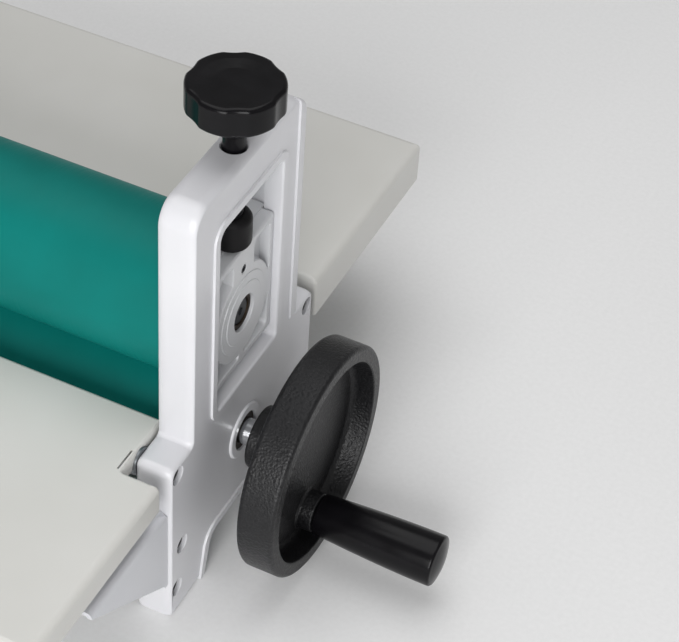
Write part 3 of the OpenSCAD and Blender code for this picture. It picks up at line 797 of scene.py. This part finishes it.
block = {
    "round": 1.6 * mm,
    "rim": 4.5 * mm,
    "pocketDepth": 6 * mm,
    "clearRadius": 30.5 * mm,    # the corner pockets stay outside this circle round the shaft
    "clearSweep": 72.0,          # degrees of that circle along each pocket
    "ringRadius": 19.5 * mm,
    "stepRadius": 25 * mm,
    "boreRadius": 11.3 * mm,
    "rib": 12 * mm,              # half width of the upright rib above the boss
    "footRib": 3 * mm,           # half width of the rib below the boss
    "flangeStep": 1 * mm,
    "faceX": 3 * mm,             # how far the face lies behind the frame's outer face
    "half": 34.7 * mm,
    "flange": 3 * mm,            # how much wider the block is behind the window's ledge
    "ledgeX": 10.3 * mm,         # how far that flange starts behind the frame's outer face
    "screwRise": 31.7 * mm,      # set screw hole above the shaft
}


def pocketOutline(mirror, upper):
    # Pocket between the block's rim, its middle rib and the boss, which bites its inner corner
    b = block
    half = b["half"] - b["rim"]
    rib = b["rib"] if upper else b["footRib"]
    boss, last = b["clearRadius"], math.radians(b["clearSweep"])
    start = math.asin(rib / boss)
    way = 1 if upper else -1
    sweep = [(boss * math.sin(a), upperZ + way * boss * math.cos(a), 0.0) for a in
             (start + (last - start) * k / 8 for k in range(9))]
    middle = upperZ + way * boss * math.cos(last)
    if upper:
        high = blockHigh[2] - b["flangeStep"] - b["rim"]
        corners = [(half, middle, 0.6 * mm), (half, high, 2.5 * mm), (rib, high, 2.5 * mm)] + sweep
    else:
        low = blockLow[2] + b["rim"]
        corners = [(rib, low, 2 * mm), (half, low, 2.5 * mm), (half, middle, 0.6 * mm)] + sweep[::-1]
    if mirror:
        corners = [(-u, v, r) for u, v, r in reversed(corners)]
    return corners


def buildBlock(side, suffix):
    b = block
    face = outerX - b["faceX"]
    back = blockLow[0] - pressX
    ledge = outerX - b["ledgeX"]
    top, low = blockHigh[2] - b["flangeStep"], blockLow[2]

    def body(inset):
        return roundedOutline([(-b["half"], low, 2 * mm), (b["half"], low, 2 * mm), (b["half"], top, 2 * mm),
                               (-b["half"], top, 2 * mm)], inset, 5)

    def flange(inset):
        half, high = b["half"] + b["flange"], top + b["flangeStep"]
        return roundedOutline([(-half, low, 2 * mm), (half, low, 2 * mm), (half, high, 2 * mm),
                               (-half, high, 2 * mm)], inset, 5)

    def bore(inset):
        return roundHole(0, upperZ, b["boreRadius"], inset, 64)

    def screwHole(inset):
        return roundHole(0, upperZ + b["screwRise"], 2.7 * mm, inset, 24)

    through = [(face, 0), (ledge - 1 * mm, 0)]
    sides = edgeLevels(face, -1, b["round"], 4) + [(ledge - 1 * mm, 0)]
    chains = [(body, sides, False), (bore, through, False)]
    for mirror in (False, True):
        for upper in (False, True):
            corners = pocketOutline(mirror, upper)
            walls = [(x, -inset) for x, inset in edgeLevels(face, -1, 0.9 * mm, 3)]
            walls += [(face - b["pocketDepth"], 0.8 * mm)]
            chains.append((lambda inset, c=corners: roundedOutline(c, inset, 4), walls, True))
    chains.append((screwHole, [(face, -0.5 * mm), (face - 0.5 * mm, 0), (face - 3 * mm, 0)], True))
    front = plateMesh(chains, acrossX(side))
    rear = plateMesh([(flange, edgeLevels(ledge, -1, 0.6 * mm, 2) + [(back, 0)], False),
                      (bore, [(ledge, 0), (back, 0)], False)], acrossX(side))
    ring = turnedMesh(roundedOutline([
        (face - 0.5 * mm, b["boreRadius"], 0), (face + 1 * mm, b["boreRadius"], 0.6 * mm),
        (face + 1 * mm, b["ringRadius"], 0.5 * mm), (face + 0.5 * mm, b["ringRadius"] + 0.3 * mm, 0.2 * mm),
        (face + 0.5 * mm, b["stepRadius"], 0.3 * mm),
        (face - 0.5 * mm, b["stepRadius"] + 0.3 * mm, 0)], steps=3), alongX(side, 0, upperZ), 96)
    piece = toObject("bearingBlock" + suffix, joined(front, rear, ring), "block_paint")
    return place(applied(piece), "carriage", "bearing_block_" + suffix.lower())


for side, suffix in ((1, "Right"), (-1, "Left")):
    buildBlock(side, suffix)
    lowerName = suffix.lower()
    softened("padSetScrew" + suffix, ["pad_set_screw_" + lowerName], 0.25 * mm, "screw_steel", "carriage")
print("stage: bearing blocks")


# Pressure pads

pad = {
    "edge": 4.5 * mm,
    "pocket": 8 * mm,            # how deep the screw's nose sits in the pad
    "screwHole": 6.04 * mm,
    "neck": 5 * mm,
}


def buildPad(side, suffix):
    node = "pressure_pad_" + suffix.lower()
    low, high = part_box(node)
    radius = (high[0] - low[0]) / 2
    foot = blockHigh[2] - block["flangeStep"]
    seat = high[2] - pad["pocket"]
    corners = [(low[2], 0, 0), (seat, 0, 0), (seat, pad["screwHole"], 0),
               (high[2], pad["screwHole"], 0.6 * mm), (high[2], radius, pad["edge"]),
               (foot, radius, pad["edge"]), (foot, pad["neck"], 0), (low[2], pad["neck"], 0)]
    mesh = turnedMesh(roundedOutline(corners, steps=5), alongZ(side, midX), 72)
    place(applied(toObject("pressurePad" + suffix, mesh, "pad_rubber")), "carriage", node)


for side, suffix in ((1, "Right"), (-1, "Left")):
    buildPad(side, suffix)
print("stage: pads")


# Geometry Nodes helpers

def newTree(name, sizes):
    # A Geometry Nodes tree with a Geometry input and output, and named number inputs
    tree = bpy.data.node_groups.new(name, "GeometryNodeTree")
    tree.interface.new_socket("Geometry", in_out="INPUT", socket_type="NodeSocketGeometry")
    for label, value in sizes.items():
        kind = "NodeSocketObject" if isinstance(value, bpy.types.Object) else "NodeSocketFloat"
        tree.interface.new_socket(label, in_out="INPUT", socket_type=kind)
    tree.interface.new_socket("Material", in_out="INPUT", socket_type="NodeSocketMaterial")
    tree.interface.new_socket("Geometry", in_out="OUTPUT", socket_type="NodeSocketGeometry")
    source = addNode(tree, "NodeGroupInput")
    return tree, source


def endTree(tree, geometry, source):
    real = addNode(tree, "GeometryNodeRealizeInstances", inputs={"Geometry": geometry})
    finished = addNode(tree, "GeometryNodeSetMaterial", inputs={
        "Geometry": real.outputs["Geometry"], "Material": source.outputs["Material"]})
    addNode(tree, "NodeGroupOutput", inputs={"Geometry": finished.outputs["Geometry"]})


def runTree(piece, tree, sizes, slotName):
    values = dict(sizes, Material=finish[slotName])
    modifier = piece.modifiers.new(tree.name, "NODES")
    modifier.node_group = tree
    for item in tree.interface.items_tree:
        if item.item_type == "SOCKET" and item.in_out == "INPUT" and item.name in values:
            modifier[item.identifier] = values[item.name]
    piece.update_tag()
    return applied(piece, weighted=False)


# Fluted knobs: a turned blank whose edge a tree scallops into lobes

knob = {
    "lobes": 6,
    "radius": 26 * mm,
    "fluteDepth": 1.2 * mm,
    "fluteTurn": 0.0,            # direction of the first flute, in degrees
    "height": 16 * mm,
    "neckRadius": 6.3 * mm,
    "rimRound": 2.6 * mm,
    "coneHeight": 14 * mm,
    "coneFoot": 9.3 * mm,        # radius where the taper meets the neck
    "dishRadius": 19 * mm,
    "dishDepth": 0.6 * mm,
    "noseRadius": 4 * mm,        # top of the screw inside the knob
    "noseCover": 5 * mm,         # knob left above it
}


def fluteTree(sizes):
    tree, source = newTree("fluteTree", sizes)
    spot = addNode(tree, "GeometryNodeInputPosition").outputs["Position"]
    centre = addNode(tree, "ShaderNodeCombineXYZ", inputs={
        "X": source.outputs["Centre X"], "Y": source.outputs["Centre Y"]}).outputs["Vector"]
    local = addNode(tree, "ShaderNodeVectorMath", {"operation": "SUBTRACT"}, {
        0: spot, 1: centre}).outputs["Vector"]
    axes = addNode(tree, "ShaderNodeSeparateXYZ", inputs={"Vector": local}).outputs
    flat = addNode(tree, "ShaderNodeCombineXYZ", inputs={"X": axes["X"], "Y": axes["Y"]}).outputs["Vector"]
    radius = addNode(tree, "ShaderNodeVectorMath", {"operation": "LENGTH"}, {0: flat}).outputs["Value"]
    angle = addNode(tree, "ShaderNodeMath", {"operation": "ARCTAN2"}, {
        0: axes["Y"], 1: axes["X"]}).outputs["Value"]
    turned = addNode(tree, "ShaderNodeMath", {"operation": "SUBTRACT"}, {
        0: angle, 1: source.outputs["Turn"]}).outputs["Value"]
    waves = addNode(tree, "ShaderNodeMath", {"operation": "MULTIPLY"}, {
        0: turned, 1: source.outputs["Lobes"]}).outputs["Value"]
    cosine = addNode(tree, "ShaderNodeMath", {"operation": "COSINE"}, {0: waves}).outputs["Value"]
    lifted = addNode(tree, "ShaderNodeMapRange", inputs={
        "Value": cosine, "From Min": 0.19, "From Max": 1.0, "To Min": 0.0, "To Max": 1.0}).outputs["Result"]
    rounded = addNode(tree, "ShaderNodeMath", {"operation": "POWER"}, {0: lifted, 1: 0.9}).outputs["Value"]
    reach = addNode(tree, "ShaderNodeMapRange", {"interpolation_type": "SMOOTHSTEP"}, {
        "Value": radius, "From Min": source.outputs["Plain radius"],
        "From Max": source.outputs["Outer radius"], "To Min": 0.0, "To Max": 1.0}).outputs["Result"]
    bite = addNode(tree, "ShaderNodeMath", {"operation": "MULTIPLY"}, {0: rounded, 1: reach}).outputs["Value"]
    depth = addNode(tree, "ShaderNodeMath", {"operation": "MULTIPLY"}, {
        0: bite, 1: source.outputs["Depth"]}).outputs["Value"]
    direction = addNode(tree, "ShaderNodeVectorMath", {"operation": "NORMALIZE"}, {0: flat}).outputs["Vector"]
    back = addNode(tree, "ShaderNodeMath", {"operation": "MULTIPLY"}, {0: depth, 1: -1.0}).outputs["Value"]
    shift = addNode(tree, "ShaderNodeVectorMath", {"operation": "SCALE"}, {
        0: direction, "Scale": back}).outputs["Vector"]
    moved = addNode(tree, "GeometryNodeSetPosition", inputs={
        "Geometry": source.outputs["Geometry"], "Offset": shift}).outputs["Geometry"]
    endTree(tree, moved, source)
    return tree


def buildKnob(side, suffix):
    k = knob
    node = "knob_" + suffix.lower()
    low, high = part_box(node)
    radius, nose = k["radius"], k["noseRadius"]
    top = high[2]
    cover, dish, brim = top - k["noseCover"], top - k["dishDepth"], top - k["height"]
    cone = brim - k["coneHeight"]
    corners = [(low[2], nose, 0), (cover, nose, 0), (cover, 0, 0), (dish, 0, 0),
               (dish, k["dishRadius"] - 8 * mm, 6 * mm), (top, k["dishRadius"], 4 * mm),
               (top, radius, k["rimRound"]), (brim, radius, 2.2 * mm), (cone, k["coneFoot"], 1.2 * mm),
               (cone - 1.6 * mm, k["neckRadius"], 1.0 * mm), (low[2], k["neckRadius"], 0.5 * mm)]
    mesh = turnedMesh(roundedOutline(corners[::-1], steps=6), alongZ(side, midX), 144)
    piece = toObject("knob" + suffix, mesh, "knob_plastic")
    turn = k["fluteTurn"] if side > 0 else 180 - k["fluteTurn"]
    sizes = {"Lobes": float(k["lobes"]), "Depth": k["fluteDepth"], "Turn": math.radians(turn),
             "Plain radius": 12 * mm, "Outer radius": radius - 1 * mm,
             "Centre X": pressX + side * midX, "Centre Y": pressY}
    runTree(piece, fluteTree(sizes), sizes, "knob_plastic")
    place(applied(piece), suffix.lower() + "_screw", node)


for side, suffix in ((1, "Right"), (-1, "Left")):
    buildKnob(side, suffix)
print("stage: knobs")


# Pressure screws: plain core with a thread ridge swept round a spiral

thread = {"pitch": 1.75 * mm, "radius": 6.0 * mm, "core": 5.15 * mm, "nose": 3 * mm}


def threadTree(sizes):
    tree, source = newTree("threadTree", sizes)
    spiral = addNode(tree, "GeometryNodeCurveSpiral", inputs={
        "Resolution": 28, "Rotations": source.outputs["Turns"], "Start Radius": source.outputs["Core"],
        "End Radius": source.outputs["Core"], "Height": source.outputs["Height"]}).outputs["Curve"]
    ridge = addNode(tree, "GeometryNodeCurvePrimitiveCircle", {"mode": "RADIUS"}, {
        "Resolution": 4, "Radius": source.outputs["Ridge"]}).outputs["Curve"]
    swept = addNode(tree, "GeometryNodeCurveToMesh", inputs={
        "Curve": spiral, "Profile Curve": ridge, "Fill Caps": True}).outputs["Mesh"]
    spot = addNode(tree, "ShaderNodeCombineXYZ", inputs={
        "X": source.outputs["Centre X"], "Y": source.outputs["Centre Y"],
        "Z": source.outputs["Start Z"]}).outputs["Vector"]
    moved = addNode(tree, "GeometryNodeTransform", inputs={
        "Geometry": swept, "Translation": spot}).outputs["Geometry"]
    both = addNode(tree, "GeometryNodeJoinGeometry")
    tree.links.new(moved, both.inputs["Geometry"])
    tree.links.new(source.outputs["Geometry"], both.inputs["Geometry"])
    endTree(tree, both.outputs["Geometry"], source)
    return tree


def buildPressureScrew(side, suffix):
    t = thread
    node = "pressure_screw_" + suffix.lower()
    low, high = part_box(node)
    shankLow = padTop - pad["pocket"] + 0.3 * mm
    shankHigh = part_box("knob_" + suffix.lower())[0][2]
    foot, head = t["nose"], knob["noseRadius"]
    corners = [(low[2], 0, 0), (low[2], foot, 0.5 * mm), (shankLow, foot, 0), (shankLow, t["core"], 0.5 * mm),
               (shankHigh, t["core"], 0), (shankHigh, head, 0), (high[2], head, 0.5 * mm), (high[2], 0, 0)]
    outline = roundedOutline(corners[::-1], steps=3)
    piece = toObject("pressureScrew" + suffix, turnedMesh(outline, alongZ(side, midX), 48), "screw_steel")
    length = shankHigh - shankLow - 3 * mm
    sizes = {"Turns": length / t["pitch"], "Core": t["core"], "Height": length,
             "Ridge": t["radius"] - t["core"], "Centre X": pressX + side * midX, "Centre Y": pressY,
             "Start Z": shankLow + 1.5 * mm}
    runTree(piece, threadTree(sizes), sizes, "screw_steel")
    place(applied(piece), suffix.lower() + "_screw", node)


for side, suffix in ((1, "Right"), (-1, "Left")):
    buildPressureScrew(side, suffix)
print("stage: pressure screws")


# Handwheel: dished and turned, with a hub, a solid web and a heavy rim

wheel = {
    "bore": 8.04 * mm,
    "hubRadius": 19 * mm,
    "rimWidth": 9.5 * mm,
    "webBack": 3 * mm,
    "web": 6 * mm,
    "boreEnd": 5 * mm,           # how far the blind bore reaches past the rim's back
    "gripBoss": 12 * mm,
    "screwHole": 3.1 * mm,       # set screw hole through the hub
    "screwX": 13 * mm,           # its distance from the hub's back
    "screwLow": 9 * mm,          # its lower end above the axis
    "depth": 22.5 * mm,          # from the rim's back to its front
}


def buildHandwheel():
    w = wheel
    low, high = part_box("handwheel")
    hub = low[0] - pressX
    front = high[0] - pressX
    back = front - w["depth"]
    radius = (high[2] - low[2]) / 2
    inner = radius - w["rimWidth"]
    web0, web1 = back + w["webBack"], back + w["webBack"] + w["web"]
    boreEnd = back + w["boreEnd"]
    corners = [(hub, w["bore"], 0.4 * mm), (boreEnd, w["bore"], 0), (boreEnd, 0, 0), (web1, 0, 0),
               (web1, inner - 2 * mm, 4.5 * mm),
               (front, inner, 1.0 * mm), (front, radius, 2.6 * mm), (back, radius, 3.0 * mm),
               (back, inner + 1 * mm, 1.6 * mm), (web0, inner - 2 * mm, 3 * mm),
               (web0, w["hubRadius"] + 9 * mm, 8 * mm), (web0 - 5 * mm, w["hubRadius"], 3 * mm),
               (hub, w["hubRadius"], 1.4 * mm)]
    disc = turnedMesh(roundedOutline(corners, steps=8), alongX(1, 0, lowerZ), 160)
    spot = middleOf("hand_grip")
    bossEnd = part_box("hand_grip")[0][0] - pressX - 0.3 * mm
    boss = turnedMesh(roundedOutline([
        (web1 - 0.6 * mm, 4.1 * mm, 0), (bossEnd, 4.1 * mm, 0.3 * mm), (bossEnd, w["gripBoss"], 1.0 * mm),
        (web1 + 1 * mm, w["gripBoss"], 1.5 * mm), (web1 - 0.6 * mm, w["gripBoss"] + 2 * mm, 0)], steps=4),
        alongX(1, spot.y - pressY, spot.z), 64)
    piece = toObject("handwheel", disc, "wheel_coat")
    holeLow, holeHigh = lowerZ + w["screwLow"], lowerZ + w["hubRadius"] + 2 * mm
    hole = turnedMesh([Vector(p) for p in (
        (holeLow, 0), (holeHigh, 0), (holeHigh, w["screwHole"]), (holeLow, w["screwHole"]))],
        alongZ(1, hub + w["screwX"]), 32)
    cutBy(piece, hole)
    whole = bmesh.new()
    whole.from_mesh(piece.data)
    bpy.data.objects.remove(piece)
    place(applied(toObject("handwheel", joined(whole, boss), "wheel_coat")), "lower_roller", "handwheel")


buildHandwheel()
softened("wheelKey", ["wheel_key"], 0.3 * mm, "plain_steel", "lower_roller")
softened("wheelScrew", ["wheel_screw"], 0.4 * mm, "screw_steel", "lower_roller")
print("stage: handwheel")


# Revolving grip and its bolt

grip = {
    "baseRadius": 12.4 * mm,
    "endRadius": 15.4 * mm,
    "dome": 2.2 * mm,            # height of the shallow domed end
    "domeRadius": 13.6 * mm,
    "corner": 1.8 * mm,
    "bore": 4.08 * mm,
    "boreCover": 12.3 * mm,      # solid grip beyond the bolt
    "boltRadius": 4 * mm,
    "boltHead": 6.5 * mm,
    "boltHeadHeight": 5 * mm,
}


def buildGrip():
    g = grip
    middle = middleOf("hand_grip")
    low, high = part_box("hand_grip")
    start, end = low[0] - pressX, high[0] - pressX
    y, z = middle.y - pressY, middle.z
    boreEnd = end - g["boreCover"]
    side = [Vector((start, g["bore"])), Vector((boreEnd, g["bore"])), Vector((boreEnd, 0)), Vector((end, 0))]
    nose = [Vector((end - g["dome"] * (k / 10) ** 2, g["domeRadius"] * k / 10)) for k in range(1, 11)]
    rim = g["endRadius"] - g["domeRadius"]
    nose += [Vector((end - g["dome"] - g["corner"] * (1 - math.cos(a)), g["domeRadius"] + rim * math.sin(a)))
             for a in (math.pi / 2 * k / 6 for k in range(1, 7))]
    far, near = nose[-1].x, start + 1.0 * mm
    swell = g["endRadius"] - g["baseRadius"]
    flank = [Vector((far + (near - far) * t, g["baseRadius"] + swell * math.sin(math.pi / 2 * (1 - t))))
             for t in (k / 20 for k in range(1, 21))]
    outline = side + nose + flank + [Vector((start, g["baseRadius"] - 0.8 * mm))]
    mesh = turnedMesh(outline, alongX(1, y, z), 96)
    place(applied(toObject("handGrip", mesh, "knob_plastic")), "grip", "hand_grip")
    boltLow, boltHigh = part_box("grip_bolt")
    back, tip = boltLow[0] - pressX, boltHigh[0] - pressX
    neck, shank, head = back + g["boltHeadHeight"], g["boltRadius"], g["boltHead"]
    turnedPiece("gripBolt", "grip_bolt",
                [(back, 0, 0), (tip, 0, 0), (tip, shank, 0.4 * mm), (neck, shank, 0),
                 (neck, head, 0.8 * mm), (back, head, 0.8 * mm)],
                1, y, z, "plain_steel", "lower_roller", 48, 3)


buildGrip()
print("stage: grip")


# Cap screws, set by a tree on points at the screw places

screws = {
    "headRadius": 5 * mm,
    "headHeight": 6 * mm,
    "shank": 3 * mm,
    "socket": 2.9 * mm,          # from the middle to a corner of the hexagon
    "socketDepth": 3.2 * mm,
}


def screwBlank(name, scale, length):
    # Socket cap screw with its head seated at the origin and its shank along -Z
    s = screws

    def rim(inset):
        return roundHole(0, 0, s["headRadius"] * scale, inset, 40)

    def socket(inset):
        return roundHole(0, 0, s["socket"] * scale, inset, 6)

    top = s["headHeight"] * scale
    head = plateMesh([(rim, edgeLevels(top, -1, 0.7 * mm * scale, 3) + [(0, 0)], False),
                      (socket, [(top, 0), (top - s["socketDepth"] * scale, 0)], True)],
                     lambda u, v, h: Vector((u, v, h)))
    seated, stem, point = 0.2 * mm, s["shank"] * scale, 1 * mm
    shank = turnedMesh([Vector(p) for p in (
        (-length, 0), (seated, 0), (seated, stem), (-length + point, stem), (-length, stem - point))],
        lambda a, u, v: Vector((u, v, a)), 24)
    return toObject(name, joined(head, shank), "screw_steel")


def screwTree(sizes):
    tree, source = newTree("screwTree", sizes)
    blank = addNode(tree, "GeometryNodeObjectInfo", {"transform_space": "ORIGINAL"}, {
        "Object": source.outputs["Screw"]}).outputs["Geometry"]
    facing = addNode(tree, "GeometryNodeInputNamedAttribute", {"data_type": "FLOAT_VECTOR"}, {
        "Name": "facing"}).outputs["Attribute"]
    aim = addNode(tree, "FunctionNodeAlignRotationToVector", {"axis": "Z"}, {
        "Vector": facing}).outputs["Rotation"]
    placed = addNode(tree, "GeometryNodeInstanceOnPoints", inputs={
        "Points": source.outputs["Geometry"], "Instance": blank, "Rotation": aim}).outputs["Instances"]
    endTree(tree, placed, source)
    return tree


def screwSet(name, places, scale, length, nodes):
    blank = screwBlank(name + "Blank", scale, length)
    data = bpy.data.meshes.new(name)
    data.from_pydata([spot for spot, facing in places], [], [])
    direction = data.attributes.new("facing", "FLOAT_VECTOR", "POINT")
    for k, (spot, facing) in enumerate(places):
        direction.data[k].vector = facing
    piece = bpy.data.objects.new(name, data)
    bpy.context.scene.collection.objects.link(piece)
    piece["slotName"] = "screw_steel"
    sizes = {"Screw": blank}
    runTree(piece, screwTree(sizes), sizes, "screw_steel")
    bpy.data.objects.remove(blank)
    place(applied(piece), "frame", *nodes)


def fromPress(x, y, z):
    return Vector((pressX + x, pressY + y, z))


seat = outerX - sideFrame["sunkDepth"]
rimPlaces = [(fromPress(s * seat, t * u * mm, v * mm), (s, 0, 0))
             for s in (-1, 1) for t in (-1, 1) for u, v in sideFrame["holePlaces"]]
screwSet("frameScrews", rimPlaces, 1.0, 23 * mm, ["frame_screws_right", "frame_screws_left"])
flangeX = innerX + 8 * mm
for t, label in ((-1, "front"), (1, "rear")):
    flangePlaces = [(fromPress(s * flangeX, t * (footHalf + 3 * mm), z * mm), (0, t, 0))
                    for s in (-1, 1) for z in (36, 78)]
    screwSet(label + "BracketScrews", flangePlaces, 0.85, 15 * mm, ["bracket_screws_" + label])
railLow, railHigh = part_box("table_rail_right")
screwX = railLow[0] - pressX + 5 * mm
rowY = [footHalf + 24 * mm, footHalf + 68 * mm]
tablePlaces = [(fromPress(s * screwX, t * y, level - 3 * mm), (0, 0, -1))
               for t, level in ((-1, railLow[2]), (1, railHigh[2])) for s in (-1, 1) for y in rowY]
screwSet("tableScrews", tablePlaces, 0.6, 3.4 * mm, ["table_screws"])
print("stage: screws")


# Floor, light and camera

studio = {
    "floorSize": 14.0,
    "worldColour": "#FFFFFF",
    "worldStrength": 0.27,
    "lensMm": 112.96,
    "cameraFrom": (0.6468, -0.7591, 0.9588),     # from the press's middle, on the floor
    "cameraTurn": (46.863, -3.152, 25.964),      # degrees
}

floorData = bpy.data.meshes.new("studioFloor")
half = studio["floorSize"] / 2
floorCorners = [(-half, -half, 0), (half, -half, 0), (half, half, 0), (-half, half, 0)]
floorData.from_pydata(floorCorners, [], [(0, 1, 2, 3)])
floorData.materials.append(studioPaper("studioPaper"))
floorPiece = bpy.data.objects.new("studioFloor", floorData)
bpy.context.scene.collection.objects.link(floorPiece)

world = bpy.data.worlds.new("studioWorld")
bpy.context.scene.world = world
world.use_nodes = True
background = world.node_tree.nodes["Background"]
background.inputs["Color"].default_value = toLinear(studio["worldColour"])
background.inputs["Strength"].default_value = studio["worldStrength"]

lamps = {
    # name: (place from the press's middle, size in metres, watts)
    "keyLight": ((0.7, -1.95, 0.9), 1.3, 34),
    "topLight": ((-0.2, 0.3, 2.4), 2.2, 23),
    "fillLight": ((2.2, 0.2, 1.2), 1.6, 1),
}
for name, (spot, size, watts) in lamps.items():
    light = bpy.data.lights.new(name, "AREA")
    light.size, light.energy = size, watts
    lamp = bpy.data.objects.new(name, light)
    bpy.context.scene.collection.objects.link(lamp)
    lamp.location = fromPress(*spot)
    lamp.rotation_euler = (fromPress(0.1, 0, 0.12) - lamp.location).to_track_quat("-Z", "Y").to_euler()

cameraData = bpy.data.cameras.new("camera")
cameraData.lens = studio["lensMm"]
cameraData.sensor_width = 36
cameraData.clip_end = 50
camera = bpy.data.objects.new("camera", cameraData)
bpy.context.scene.collection.objects.link(camera)
camera.location = fromPress(*studio["cameraFrom"])
camera.rotation_euler = [math.radians(a) for a in studio["cameraTurn"]]
bpy.context.scene.camera = camera
bpy.context.scene.view_settings.view_transform = "Standard"
print("stage: studio")
